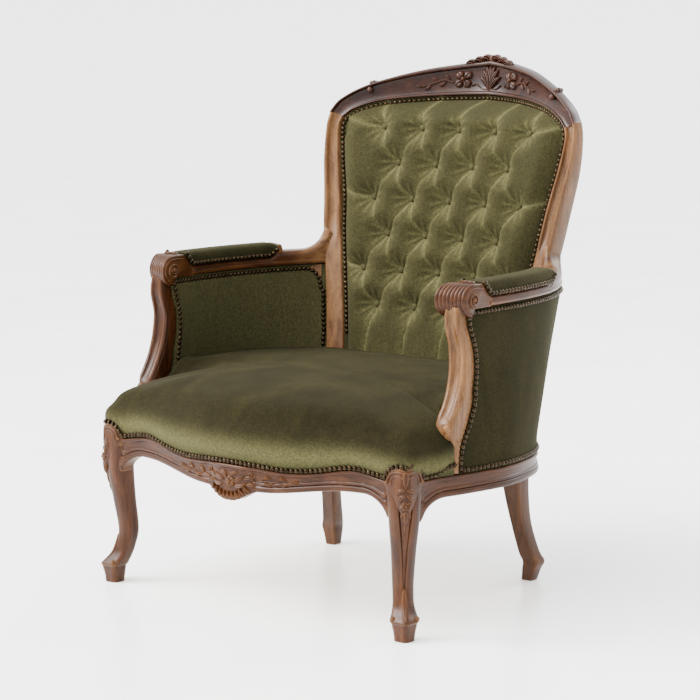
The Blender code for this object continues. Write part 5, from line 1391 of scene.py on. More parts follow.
def rail_ring(p, n, bottom, nail, relief, slope, fade):
    """Ring of a seat rail: double bead at the lower edge, hollow face and a fillet under the nails."""
    bead = RAIL_BEAD * min(3.0, math.sqrt(1 + slope * slope))
    beads = (
        (bottom + 1.1 * bead, 1.1 * bead, 0.0036 * fade),
        (bottom + 2.9 * bead, 0.6 * bead, 0.0022 * fade),
        (nail - 0.7 * RAIL_BEAD, 0.7 * RAIL_BEAD, 0.0024),
    )
    section = []
    steps = 44
    for k in range(steps + 1):
        z = mix(bottom, nail, k / steps)
        section.append((RAIL_SINK - raised(z, beads) - relief, z))
    section += [(RAIL_REBATE, nail + CLEARANCE), (RAIL_REBATE, 0.0), (RAIL_THICKNESS, 0.0)]
    section += [(RAIL_THICKNESS, RAIL_LEDGE), (RAIL_THICKNESS / 2, RAIL_LEDGE), (RAIL_THICKNESS / 2, bottom)]
    return [Vector((p.x - n.x * depth, p.y - n.y * depth, z)) for depth, z in section]


def shell_relief(x):
    return 0.6 * SHELL_RELIEF * smooth((SHELL_HALF - abs(x)) / SHELL_HALF * 1.5)


def front_level(x):
    """Lower edge of the front rail between its turns into the legs, with the rounded apron."""
    x = abs(x)
    arch_x = HALF_WIDTH - FRONT_ARCH_INSET
    level = FRONT_BOTTOM + FRONT_ARCH_RISE * smooth((x - SHELL_HALF) / (arch_x - SHELL_HALF))
    return level - SHELL_DROP * smooth(1.12 * (1 - x / SHELL_HALF))


@functools.cache
def front_knee_x():
    """Where the inside face of the front leg takes over from the rail's turn."""
    shift, side = leg_row(FRONT_BOTTOM + FRONT_ARCH_RISE - KNEE_DROP)
    return leg_centre(shift)[0] - side / 2


def rail_face(x, z):
    """Point and normal on the hollow face of the front rail."""
    step = 0.002
    n = Vector(((front_y(x + step) - front_y(x - step)) / (2 * step), -1.0)).normalized()
    out = shell_relief(x) - RAIL_SINK
    return Vector((x + n.x * out, front_y(x) + n.y * out, z)), Vector((n.x, n.y, 0.0))


def shell_carving():
    """Flower and leaves on the apron, a scalloped edge under it, and sprigs beside it."""
    on = rail_face
    shapes = [flower(on, (0.004, -0.060), 0.0115, 5, 0.0050)]
    for k in range(9):
        x = mix(-0.040, 0.040, k / 8)
        edge = front_level(x)
        scallop = [(x * 0.86, edge + 0.017), (x * 0.98, edge + 0.008), (x * 1.10, edge + 0.0015)]
        shapes.append(leaf(on, scallop, 0.0058, 0.0070, 0.66))
    shapes += carved(leaf, on, [(spine, width, SHELL_LEAF_HEIGHT) for spine, width in SHELL_LEAVES])
    shapes += carved(stem, on, SHELL_TRAIL)
    for s in (1, -1):
        start = 0.0 if s > 0 else math.pi
        shapes.append(scroll(on, (0.049 * s, -0.0445), 0.0062, 1.3, 0.0016, 0.0030, -s, start))
    return join(*shapes)


def front_rail_shape():
    knee = front_knee_x()
    start = knee - KNEE_RUN
    half = [start * i / 70 for i in range(71)]
    half += [start + KNEE_RUN * math.sin(math.radians(4 * k)) for k in range(1, 21)]
    half.append(HALF_WIDTH - FRONT_END_INSET)
    line = [Vector((x, front_y(x))) for x in [-x for x in reversed(half[1:])] + half]
    rings = []
    for p, n in zip(line, normals(line)):
        drop, slope = knee_arch(abs(p.x) - start)
        relief = shell_relief(p.x) + FRONT_KNEE_RELIEF * smooth((abs(p.x) - start) / KNEE_RUN)
        fade = smooth((abs(p.x) - 0.7 * SHELL_HALF) / (0.4 * SHELL_HALF))
        rings.append(rail_ring(p, n, front_level(p.x) - drop, front_nail_line(p.x), relief, slope, fade))
    return join(loft(rings), shell_carving())


def side_rail_shape():
    shift, side = leg_row(SIDE_BOTTOM - KNEE_DROP)
    knee = leg_centre(shift)[1] + side / 2
    line = side_line(140)[0]
    rings = []
    for p, n in zip(line, normals(line)):
        drop, slope = knee_arch(knee + KNEE_RUN - p.y)
        relief = SIDE_KNEE_RELIEF * smooth((knee + KNEE_RUN - p.y) / KNEE_RUN)
        rings.append(rail_ring(p, n, SIDE_BOTTOM - drop, NAIL_LINE, relief, slope, 1.0))
    return loft(rings)


def post_section(z):
    """Centre x and y, half width and half depth of the post at a height, out to the velvet of the side."""
    x, y, half_x, half_y = post_at(z)
    low = NAIL_LINE + SEAT_GAP
    out = wall_place(outside_face, (z - low) / (ARM_UNDERSIDE - low), 0.0, z, -POST_VELVET_STEP)[0].x
    more = max(0.0, out - x - half_x) / 2
    return x + more, y, half_x + more, half_y


def post_surface(round_it, z):
    """Point and normal on the arm post, by the way round it from the front towards the outside."""
    x, y, half_x, half_y = post_section(z)
    turn = round_it / max(half_x, half_y)
    n = Vector((math.sin(turn), -math.cos(turn)))
    return Vector((x + n.x * half_x, y + n.y * half_y, z)), Vector((n.x, n.y, 0.0))


def arm_post_shape():
    """Curved arm post with a hollow between two beads on its front, ending in a pearl above a leaf."""
    rings = []
    for i in range(81):
        share = i / 80
        x, y, half_x, half_y = post_section(post_z(share))
        fade = smooth((share - 0.30) / 0.06) * smooth((1.02 - share) / 0.08)
        ring = []
        for p, n in filled_ring(rounded_ring(x, y, half_x, half_y, 0.62 * min(half_x, half_y), 10), 10):
            s = (p.x - x) / half_x
            facing = smooth(-n.y / 0.4)
            p = p + n * raised(s, POST_MOULDING) * fade * facing
            ring.append(Vector((p.x, p.y, post_z(share))))
        rings.append(ring)
    shapes = [loft(rings)]
    on = post_surface
    at, n = on(POST_PEARL_X, post_z(POST_PEARL_SHARE))
    shapes.append(dome(at - n * 0.001, n, 0.0085, 0.0075, 18))
    for tip, low in POST_LEAVES:
        bend = (mix(POST_PEARL_X, tip, 0.6), post_z(mix(POST_LEAF_SHARE, low, 0.5)))
        spine = [(POST_PEARL_X, post_z(POST_LEAF_SHARE)), bend, (tip, post_z(low))]
        shapes.append(leaf(on, spine, 0.0055, 0.0036))
    return join(*shapes)


def arm_front_outline():
    """Side view of the arm ahead of its pad: places along and up, round the nose from below to the top."""
    roll = ARM_UNDERSIDE + ARM_ROLL_RISE
    under = [mix(ARM_PAD_START, ARM_ROLL_RADIUS, k / 10) for k in range(10)]
    above = [mix(ARM_ROLL_RADIUS, ARM_PAD_START, k / 24) for k in range(1, 25)]
    outline = [Vector((run, arm_underside(run))) for run in under]
    for k in range(37):
        turn = math.radians(-90 + 5 * k)
        outline.append(
            Vector((ARM_ROLL_RADIUS * (1 - math.cos(turn)), roll + ARM_ROLL_RADIUS * math.sin(turn)))
        )
    return outline + [Vector((run, arm_top(run))) for run in above]


def arm_place(run, out, z):
    """Point by the way along the arm, which may start ahead of its line, the way out and the height."""
    p, n = arm_at(max(run, 0.0))
    p = p + Vector((n.y, -n.x)) * max(-run, 0.0)
    return Vector((p.x + n.x * out, p.y + n.y * out, z))


def arm_top_face(out, run):
    """Point and normal on the top of the arm."""
    return arm_place(run, out, arm_top(run)), Vector((0.0, 0.0, 1.0))


def nose_turn(run, across):
    """How far a place across the arm is turned back along it, less and less from the nose to the pad."""
    return across * ARM_NOSE_TURN * smooth(1 - run / ARM_PAD_START)


def cheek_face(side):
    """Surface of the arm's cheek on one side, by the way along the arm and the height."""

    def face(run, z):
        n = arm_at(max(run, 0.0))[1] * side
        return arm_place(run + nose_turn(run, side), side * arm_half_width(run), z), Vector((n.x, n.y, 0.0))

    return face


def arm_front_shape():
    """Reeded nose and neck of the arm, cut across its width, with a scroll on both cheeks."""
    outline = arm_front_outline()
    turned = []
    for i in range(len(outline)):
        d = outline[min(i + 1, len(outline) - 1)] - outline[max(i - 1, 0)]
        turned.append(Vector((-d.y, d.x)).normalized())
    neck = ARM_PAD_START - ARM_SLOPE_RUN
    rings = []
    steps = ARM_REEDS * 8
    for k in range(steps + 1):
        s = 2 * k / steps - 1
        reed = abs(math.sin(math.pi * ARM_REEDS * k / steps)) ** 0.6
        edge = max(0.0, (abs(s) - 0.88) / 0.12)
        fall = ARM_CHEEK_EDGE * (1 - math.sqrt(1 - edge * edge))
        ring = []
        for p, n in zip(outline, turned):
            fade = smooth((neck - p.x) / 0.015)
            q = p - n * (fall + ARM_REED_DEPTH * (1 - reed) * fade * (abs(s) < 0.99))
            ring.append(arm_place(q.x + nose_turn(p.x, s), s * arm_half_width(p.x), q.y))
        rings.append(ring)
    shapes = [loft(rings)]
    eye = (ARM_ROLL_RADIUS + 0.001, ARM_UNDERSIDE + ARM_ROLL_RISE + 0.001)
    border = [p - n * 0.0075 for p, n in zip(outline, turned)][16:64:4]
    for s in (1, -1):
        cheek = cheek_face(s)
        shapes.append(scroll(cheek, eye, 0.0135, 1.7, 0.0026, 0.0032, -1, -1.2))
        shapes.append(stem(cheek, border, 0.0018, 0.0022))
    for tip, reach in NECK_LEAVES:
        spine = [(0.2 * tip, neck - 0.002), (0.8 * tip, neck - 0.5 * reach), (tip, neck - reach)]
        shapes.append(leaf(arm_top_face, spine, 0.0062, 0.0052))
    return join(*shapes)


def gusset_shape():
    """Bracket in the corner between the arm and the stile, round which the inside of the arm is nailed."""
    corner = (inside_end(ARM_UNDERSIDE), ARM_UNDERSIDE)
    front = []
    back = []
    shares = [0.10 + 0.088 * r for r in range(11)]
    for share, z in inside_corner():
        row = [(mix(share, corner[0], t), mix(z, corner[1], t)) for t in shares]
        front.append([wall_place(inside_face, 1.0, s, h, -0.0045)[0] for s, h in row])
        back.append([wall_place(inside_face, 1.0, s, h, 0.006)[0] for s, h in row])
    return sheet_of(front, back)


def arm_body_shape():
    """The arm behind its neck: saddle under the pad, a rolled lip and the sweep up to the stile."""
    length = arm_line(81)[1]
    runs = [mix(ARM_PAD_START - 0.002, ARM_PAD_END - ARM_LIP_RUN, k / 34) for k in range(35)]
    runs += [mix(ARM_PAD_END - ARM_LIP_RUN, length, k / 48) for k in range(1, 49)]
    rings = []
    for run in runs:
        p, n = arm_at(run)
        low, high = arm_underside(run), arm_top(run)
        half = arm_half_width(run)
        middle = (low + high) / 2
        radius = min(ARM_EDGE_RADIUS, 0.4 * (high - low))
        ring = []
        for q, m in filled_ring(rounded_ring(0.0, middle, half, (high - low) / 2, radius, 6), 16):
            q = q + m * raised(q.y - low, ARM_BEAD) * smooth(abs(m.x) / 0.6)
            x, y = p.x + n.x * q.x, p.y + n.y * q.x
            ring.append(Vector((x, y, q.y + arm_flare(x, y) if q.y > middle else q.y)))
        rings.append(ring)
    half = 0.96 * arm_half_width(ARM_PAD_END)
    lip = [(-half, ARM_PAD_END + 0.004), (0.0, ARM_PAD_END + 0.006), (half, ARM_PAD_END + 0.004)]
    return join(loft(rings), stem(arm_top_face, lip, 0.0075, 0.0150), gusset_shape())


def wood_piece(node, shape, look, tone=None):
    """Show wood that stands for one node of the frame."""
    piece(f"{node}_form", shape, look, (node,), WOOD_SHARP, tone)


def show_wood():
    for name, side in SIDES.items():
        leg = side_of(join(leg_shape(), cartouche_shape()), side)
        wood_piece(f"front_leg_{name}", leg, "leg")
        stile = side_of(rear_leg_shape(), side)
        # Below the seat frame the rear legs fade to the darker warm palette as painted shade.
        golden = [mix(REAR_FOOT_GOLDEN_IN_SHADE, 1.0, smooth(1 + p.z / REAR_SHADE_RUN)) for p in stile[0]]
        wood_piece(f"rear_leg_stile_{name}", stile, "stile", golden)
        wood_piece(f"side_seat_rail_{name}", side_of(side_rail_shape(), side), "rail_side")
        post = side_of(arm_post_shape(), side)
        # The right post is painted darker with the leg palette as shade.
        wood_piece(f"arm_post_{name}", post, POST_LOOKS_WITH_SHADE[name], [1.0] * len(post[0]))
        arm = side_of(join(arm_front_shape(), arm_body_shape()), side)
        golden = [smooth((p.y - ARM_GOLDEN_Y) / ARM_GOLDEN_RUN) for p in arm[0]]
        wood_piece(f"armrest_{name}", arm, "arm", golden)
    wood_piece("front_seat_rail", front_rail_shape(), "rail_front")
    wood_piece("crest_rail", crest_shape(), "crest")


# Upholstery


def buttons():
    """Places of the back's buttons: rows of five and four in turn."""
    found = []
    for row in range(TUFT_ROWS):
        count = 5 - row % 2
        for k in range(count):
            found.append((row, (k - (count - 1) / 2) * TUFT_PITCH, TUFT_TOP_Z - row * TUFT_ROW_PITCH))
    return found


def folds():
    """Folds of the buttoned back as two ends and a flag: true where the far end is a button too."""
    found = []
    every = buttons()
    for row, x, z in every:
        for lower, xl, zl in every:
            if lower == row + 1 and abs(xl - x) < TUFT_PITCH:
                found.append(((x, z), (xl, zl), True))
        if row == 0:
            found.append(((x, z), (1.25 * x, z + 2 * TUFT_ROW_PITCH), False))
        if row == TUFT_ROWS - 1:
            found.append(((x, z), (x, z - 3 * TUFT_ROW_PITCH), False))
        if row % 2 == 0 and abs(x) > 1.9 * TUFT_PITCH:
            found.append(((x, z), (x + math.copysign(TUFT_PITCH, x), z + 0.25 * TUFT_ROW_PITCH), False))
    return found


def fold_field(x, z):
    """Distance to the nearest fold and how deep that fold is there, over arrays of places."""
    near = np.full(x.shape, 1.0)
    depth = np.zeros(x.shape)
    for (ax, az), (bx, bz), between in folds():
        shares = [k / FOLD_STEPS for k in range(FOLD_STEPS + 1)]
        sag = FOLD_SAG if between else 0.0
        line = [(mix(ax, bx, t), mix(az, bz, t) - sag * math.sin(math.pi * t)) for t in shares]
        for k in range(FOLD_STEPS):
            (px, pz), (qx, qz) = line[k], line[k + 1]
            dx, dz = qx - px, qz - pz
            t = np.clip(((x - px) * dx + (z - pz) * dz) / (dx * dx + dz * dz), 0.0, 1.0)
            away = np.hypot(x - px - t * dx, z - pz - t * dz)
            along = (k + t) / FOLD_STEPS
            if between:
                deep = 0.55 + 0.45 * np.abs(2 * along - 1) ** 1.5
            else:
                deep = 1.0 - 0.55 * along
            depth = np.where(away < near, deep, depth)
            near = np.minimum(near, away)
    return near, depth


def tufting(x, z):
    """Forward swell of the buttoned back and its painted sheen, over arrays of places."""
    near, depth = fold_field(x, z)
    reach = np.full(x.shape, 1.0)
    wrinkle = np.zeros(x.shape)
    for _, bx, bz in buttons():
        away = np.hypot(x - bx, z - bz)
        turn = np.arctan2(z - bz, x - bx)
        waves = np.cos(WRINKLES * turn + 3 * np.sin(40 * bx + 23 * bz))
        wrinkle += waves * np.exp(-(((away - WRINKLE_REACH) / WRINKLE_SPREAD) ** 2))
        reach = np.minimum(reach, away)
    pillow = 1 - np.exp(-((reach / PILLOW_RADIUS) ** 2))
    swell = PILLOW_HEIGHT * (PILLOW_FLOOR + (1 - PILLOW_FLOOR) * pillow) + WRINKLE_HEIGHT * wrinkle
    crease = np.exp(-near / FOLD_WIDTH)
    swell -= depth * (FOLD_DEPTH * crease + FOLD_BROAD * np.exp(-((near / FOLD_BROAD_WIDTH) ** 2)))
    # Painted sheen: highlights along the folds and on the wrinkles round the buttons, more in the hollows by
    # the buttons, and an even share that paints the back lighter as if lit from the front.
    painted_sheen = FOLD_PAINTED_SHEEN * depth * np.exp(-near / FOLD_SHEEN_WIDTH) + WRINKLE_PAINTED_SHEEN * np.clip(wrinkle, 0.0, 1.0)
    painted_sheen += BACK_PAINTED_LIGHT + HOLLOW_PAINTED_SHEEN * (1 - pillow)
    return swell, np.clip(painted_sheen, 0.0, 1.0)


def pad_place(u, v, bottom):
    """Place in the back's opening for shares u across (-1 to 1) and v up from a bottom (0 to 1)."""
    half = back_inner_x(mix(bottom, back_inner_top(0.0), v)) - PAD_GAP
    ceiling = back_inner_top(u * half) + PAD_GAP
    z = mix(bottom, ceiling, v)
    half = min(half, back_inner_x(z) - PAD_GAP)
    return u * half, z, min((1 - abs(u)) * half, ceiling - z)


def pad_front(x, z, edge, swell):
    """Y of the back's velvet: a flat rim for the nails, then a roll up to the buttoned plane."""
    plane = PAD_Y + PAD_LEAN * (z - PAD_Z) - PAD_CURVE * x * x
    rolled = smooth((edge - PAD_RIM_FLAT) / (PAD_EDGE - PAD_RIM_FLAT)) ** PAD_ROLL
    return mix(back_front(x, z) + PAD_RIM, plane - swell, rolled)


def back_cushion_shape():
    """Points and faces of the buttoned back, and its painted sheen."""
    rows = columns = 300
    bottom = LOWER_RAIL_TOP + CLEARANCE
    shares = [2 * c / columns - 1 for c in range(columns + 1)]
    places = [[pad_place(u, r / rows, bottom) for u in shares] for r in range(rows + 1)]
    grid = np.array(places)
    swell, painted_sheen = tufting(grid[..., 0], grid[..., 1])
    front = []
    back = []
    for row, swollen in zip(places, swell):
        front.append([Vector((x, pad_front(x, z, edge, s), z)) for (x, z, edge), s in zip(row, swollen)])
        back.append([Vector((x, back_front(x, z) + PAD_BACK, z)) for x, z, _ in row])
    return sheet_of(front, back), np.concatenate([painted_sheen.ravel(), np.zeros(painted_sheen.size)])


def button_shapes():
    shapes = []
    for _, x, z in buttons():
        swell = tufting(np.array([x]), np.array([z]))[0][0]
        y = pad_front(x, z, PAD_EDGE, swell)
        facing = (-BUTTON_SPLAY * x, -1.0, BUTTON_TILT)
        shapes.append(dome((x, y - BUTTON_PROUD, z), facing, BUTTON_RADIUS, BUTTON_HEIGHT, 18))
    return join(*shapes)


def seat_place(angle, reach):
    return Vector((reach * math.cos(angle), SEAT_CENTRE_Y + reach * math.sin(angle)))


def moved_out(outline, distance):
    """The outline's points moved along the rays from the seat's middle, by one distance or one each."""
    distances = distance if isinstance(distance, list) else [distance] * len(outline)
    centre = seat_place(0.0, 0.0)
    return [p + (p - centre).normalized() * d for p, d in zip(outline, distances)]


def front_outline():
    end = HALF_WIDTH - FRONT_END_INSET
    front = [Vector((x, front_y(x))) for x in (end * i / 24 for i in range(25))]
    side = side_line(16)[0]
    corner = Vector((side[0].x, front[-1].y))
    return front + [front[-1].lerp(corner, 0.75).lerp(side[0], 0.25), side[0]]


def closed_plan(half):
    """Closed plan from its half, which runs from the middle of the front to the middle of the rear."""
    first, *inner, last = half
    return [first, *inner, last, *[Vector((-p.x, p.y)) for p in reversed(inner)]]


def seat_outline():
    """Plan of the seat: over the front rail, round the arm posts and along the inside arms."""
    side = side_line(61)[0]
    front = front_outline()
    ear = [at_y(side, mix(front[-1].y, SEAT_EAR_Y, k / 8))[0] for k in range(1, 9)]
    room = INSIDE_PAD_FACE + INSIDE_PAD_BULGE + SEAT_GAP
    walls = [side_wall(SEAT_WALL_Z, SEAT_WALL_END * k / 24) for k in range(25)]
    inside = [p - n * room for p, n in walls]
    turn = math.atan2(ear[-1].y - SEAT_CENTRE_Y, ear[-1].x)
    step = seat_place(turn + SEAT_EAR_TURN, (ear[-1] - seat_place(0.0, 0.0)).length - SEAT_EAR_STEP)
    turn += 2 * SEAT_EAR_TURN
    corner = seat_place(turn, inside[0].x / math.cos(turn))
    reach = HALF_WIDTH - SEAT_REAR_INSET
    shares = [1 - k / 16 for k in range(17)]
    rear = [Vector((reach * s, SEAT_REAR_Y + SEAT_REAR_BOW * (1 - s * s))) for s in shares]
    return closed_plan(front + ear + [step, corner] + inside + rear)


def seat_edge(p):
    """Height of the seat's nailed edge at a place of its outline."""
    if p.y >= SEAT_EAR_Y + CLEARANCE:
        return SHEET_THICKNESS + SEAT_GAP
    return (front_nail_line(p.x) if p.y < FOOT_Y - FRONT_LEAD else NAIL_LINE) + SEAT_GAP


def evened_out(outline, passes):
    """The outline with its reach from the seat's middle averaged with its neighbours', pass by pass."""
    centre = seat_place(0.0, 0.0)
    reach = [(p - centre).length for p in outline]
    for _ in range(passes):
        reach = [(a + 2 * b + c) / 4 for a, b, c in zip(reach[-1:] + reach, reach, reach[1:] + reach[:1])]
    return moved_out(outline, [r - (p - centre).length for r, p in zip(reach, outline)])


def lifted(outline, heights):
    return [(p.x, p.y, h) for p, h in zip(outline, heights)]


def seat_cushion_shape():
    """Points and faces of the sprung seat, and the painted highlight along its front edge."""
    outline = seat_outline()
    centre = seat_place(0.0, 0.0)
    corners = [smooth(1 - (HALF_WIDTH - abs(p.x)) / SEAT_CORNER_RUN) for p in outline]
    edge = [seat_edge(p) for p in outline]

    def in_front(spread):
        run = SEAT_EAR_RUN * spread
        return [smooth((SEAT_EAR_Y + run - p.y) / run) for p in outline]

    def heights(front, corner, beside, spread=1.0):
        return [SEAT_CROWN * mix(beside, mix(front, corner, c), f) for f, c in zip(in_front(spread), corners)]

    nose = [mix(SEAT_NOSE, SEAT_CORNER_NOSE, c) for c in corners]
    swell = [mix(-SEAT_GAP, SEAT_BULGE, smooth((SEAT_EAR_Y - p.y) / SEAT_EAR_RUN)) for p in outline]
    swollen = moved_out(outline, swell)
    layers = [
        lifted(moved_out(outline, -2 * SEAT_GAP), edge),
        lifted(swollen, [mix(e, n, SEAT_NOSE_LOW) for e, n in zip(edge, nose)]),
        lifted(swollen, [mix(e, n, SEAT_NOSE_HIGH) for e, n in zip(edge, nose)]),
        lifted(moved_out(outline, -SEAT_ROUNDING), heights(SEAT_RIM_FRONT, SEAT_RIM_CORNER, SEAT_RIM_SIDE)),
    ]
    for share, *levels, passes in SEAT_RINGS:
        plan = [centre + (p - centre) * share for p in evened_out(outline, SEAT_FINER * passes)]
        layers.append(lifted(plan, heights(*levels)))
    lines = [resample(stations, SEAT_LAYERS) for stations in zip(*layers)]
    rings = [[Vector(line[k]) for line in lines] for k in range(SEAT_LAYERS)]
    under = [Vector(p) for p in lifted(moved_out(outline, -SEAT_TURN_UNDER), edge)]
    # Painted highlight along the front edge, strongest round one layer of the roll.
    painted_sheen = [0.0] * len(outline)
    for k in range(SEAT_LAYERS):
        station = k / (SEAT_LAYERS - 1) * (len(layers) - 1)
        turned = SEAT_PAINTED_SHEEN * math.exp(-(((station - SEAT_SHEEN_AT) / SEAT_SHEEN_SPREAD) ** 2))
        painted_sheen += [turned * f for f in in_front(1.0)]
    return loft([under] + rings), painted_sheen


def wall_grid(face, low, high, rows=36, columns=60):
    """Grid of places along the side's wall; face gives the offset outwards by the shares up and along."""
    grid = []
    for r in range(rows + 1):
        z = mix(low, high, r / rows)
        shares = [mix(-WALL_LAP, 1.0, c / columns) for c in range(columns + 1)]
        grid.append([wall_place(face, r / rows, share, z)[0] for share in shares])
    return grid


def wall_place(face, up, share, z, more=0.0):
    """Point on a face of the side's wall or further out, and the wall's outward normal."""
    p, n = side_wall(z, share)
    out = face(up, share) + more
    return Vector((p.x + n.x * out, p.y + n.y * out, z)), Vector((n.x, n.y, 0.0))


def inside_face(up, share):
    lip = INSIDE_PAD_EDGE * (1 - smooth(min(up, 1 - up) / 0.06))
    full = lip - INSIDE_PAD_FACE - INSIDE_PAD_BULGE * math.sin(math.pi * min(1.0, max(0.0, up))) ** 0.6
    return mix(full, -STUFFING_RAIL_HALF, INSIDE_PAD_TAPER * smooth(2.5 * share - 1.5))


def outside_face(up, share):
    z = mix(NAIL_LINE + SEAT_GAP, ARM_UNDERSIDE, up)
    rise = min(1.0, max(0.0, z / ARM_UNDERSIDE))
    at_rail = SIDE_WALL_INSET - RAIL_REBATE + 4 * CLEARANCE + OUTSIDE_PANEL_THICKNESS
    return mix(at_rail, OUTSIDE_PANEL_FACE, rise) + OUTSIDE_PANEL_BULGE * math.sin(math.pi * rise)


def inside_pad_shape():
    top = ARM_UNDERSIDE - 2 * CLEARANCE
    front = wall_grid(inside_face, INSIDE_PAD_BOTTOM, top)
    back = wall_grid(lambda up, share: -STUFFING_RAIL_HALF, INSIDE_PAD_BOTTOM, top)
    return sheet_of(front, back)


def outside_panel_shape():
    """Outside velvet of a side; above the rail its rear end turns in to the stile."""
    low = NAIL_LINE + SEAT_GAP
    top = ARM_UNDERSIDE - 2 * CLEARANCE
    front = wall_grid(outside_face, low, top)
    back = wall_grid(lambda up, share: outside_face(up, share) - OUTSIDE_PANEL_THICKNESS, low, top)
    for outer, inner in zip(front, back):
        end = outer[-1].copy()
        out = (end - inner[-1]).normalized()
        ahead = Vector((out.y, -out.x, 0.0)) * PANEL_RETURN_THICKNESS
        start = 1.1 * OUTSIDE_PANEL_THICKNESS
        reach = max(start, (end.x - stile_edge(end.z, 2)) / out.x)
        reach = mix(start, reach, smooth(end.z / PANEL_RETURN_RISE))
        inner[-1] = end - out * OUTSIDE_PANEL_THICKNESS + ahead
        for share in (0.25, 0.5, 0.75, 1.0):
            outer.append(end - out * reach * share)
            inner.append(end - out * mix(OUTSIDE_PANEL_THICKNESS, reach, share) + ahead)
    return sheet_of(front, back)


def arm_pad_shape():
    """Pad on the arm; its lower edge climbs the sloped end of the neck and the lip at the rear."""
    saddle = ARM_UNDERSIDE + ARM_SADDLE_RISE
    count = 70
    rings = []
    for k in range(count + 1):
        run = mix(ARM_PAD_START - ARM_SLOPE_RUN + 0.004, ARM_PAD_END - CLEARANCE, k / count)
        p, n = arm_at(run)
        low = arm_top(run) + CLEARANCE
        end = math.sin(min(1.0, min(k + 3, count - k + 3) / (count / 9)) * math.pi / 2)
        high = saddle + ARM_PAD_CROWN * mix(1.0, 1.08, end)
        crown = (high - low) * mix(0.6, 1.0, end)
        half = arm_half_width(run) + ARM_PAD_OVERHANG
        section = [(half * 0.98, 0.0)]
        for j in range(25):
            turn = math.pi * j / 24
            out = math.copysign(abs(math.cos(turn)) ** 0.6, math.cos(turn))
            section.append((half * out, 0.25 + 0.75 * math.sin(turn) ** 0.75))
        section.append((-half * 0.98, 0.0))
        rings.append([Vector((p.x + n.x * o, p.y + n.y * o, low + crown * up)) for o, up in section])
    return loft(rings)


def back_sheet_shape(depth, thickness, bottom, bulge=0.0):
    front = []
    back = []
    for r in range(61):
        places = [pad_place(2 * c / 40 - 1, r / 60, bottom) for c in range(41)]
        swell = [bulge * smooth(edge / 0.08) for _, _, edge in places]
        behind = [back_front(x, max(z, 0.0)) + depth for x, z, _ in places]
        front.append([Vector((x, y, z)) for (x, z, _), y in zip(places, behind)])
        back.append([Vector((x, y + thickness + s, z)) for (x, z, _), y, s in zip(places, behind, swell)])
    return sheet_of(front, back)


def frame_outline():
    side = side_line(40)[0]
    places = [(HALF_WIDTH - REAR_RAIL_INSET) * i / 8 for i in range(7, -1, -1)]
    rear = [Vector((x, back_front(x, 0.0) + REAR_RAIL_THICKNESS)) for x in places]
    return closed_plan(front_outline() + side[1:-1] + rear)


def dust_border():
    """Plan of the dust cover's edge, a little inside the seat frame's outer faces."""
    outline = frame_outline()
    count = len(outline)
    border = []
    for i, p in enumerate(outline):
        d = outline[(i + 1) % count] - outline[i - 1]
        border.append(p - Vector((d.y, -d.x)).normalized() * DUST_INSET)
    return border


def dust_cover_shape():
    border = dust_border()
    level = RAIL_LEDGE - WEB_THICKNESS - 5 * CLEARANCE
    centre = seat_place(0.0, 0.0)
    layers = []
    for drop in (0.0, SHEET_THICKNESS):
        rings = []
        for k in range(25):
            share = 1 - 0.96 * k / 24
            sag = DUST_SAG * (1 - share**3)
            rings.append([(*centre.lerp(p, share), level - sag - drop) for p in border])
        layers.append(rings)
    return loft(layers[0][::-1] + layers[1])


def velvet_piece(node, shape, tone=None, sharp=THIN_SHARP):
    """Padded velvet that stands for one node."""
    made = piece(f"{node}_velvet", shape, "velvet", (node,), sharp, tone)


def dust_cover():
    """Calico stretched under the seat; its flat size is the plan of its edge."""
    dust = piece("dust_cover_calico", dust_cover_shape(), "calico", ("dust_cover",), THIN_SHARP)
    border = dust_border()
    turns = zip(border, border[1:] + border[:1])
    area = sum(a.x * b.y - b.x * a.y for a, b in turns) / 2


def upholstery():
    velvet_piece("back_cushion", *back_cushion_shape(), ROUND_SHARP)
    velvet_piece("seat_cushion", *seat_cushion_shape(), ROUND_SHARP)
    for name, side in SIDES.items():
        # Each side piece is painted lighter by an even share of the sheen colour, the inside pads most.
        for node, shape, painted_sheen in (
            ("inside_arm_pad", inside_pad_shape(), INSIDE_PAINTED_LIGHT),
            ("outside_arm_panel", outside_panel_shape(), OUTSIDE_PAINTED_LIGHT),
            ("arm_pad", arm_pad_shape(), PAD_PAINTED_LIGHT),
        ):
            velvet_piece(f"{node}_{name}", side_of(shape, side), [painted_sheen] * len(shape[0]))
    panel = back_sheet_shape(BACK_PANEL_DEPTH, BACK_PANEL_THICKNESS, BACK_PANEL_BOTTOM, BACK_PANEL_BULGE)
    velvet_piece("outside_back_panel", panel)
    covered = button_shapes()
    # Buttons painted lighter with the velvet's sheen colour, against the shade in their dimples.
    piece("back_buttons", covered, "velvet", (), ROUND_SHARP, [BUTTON_PAINTED_LIGHT] * len(covered[0]))
    dust_cover()


# Nails


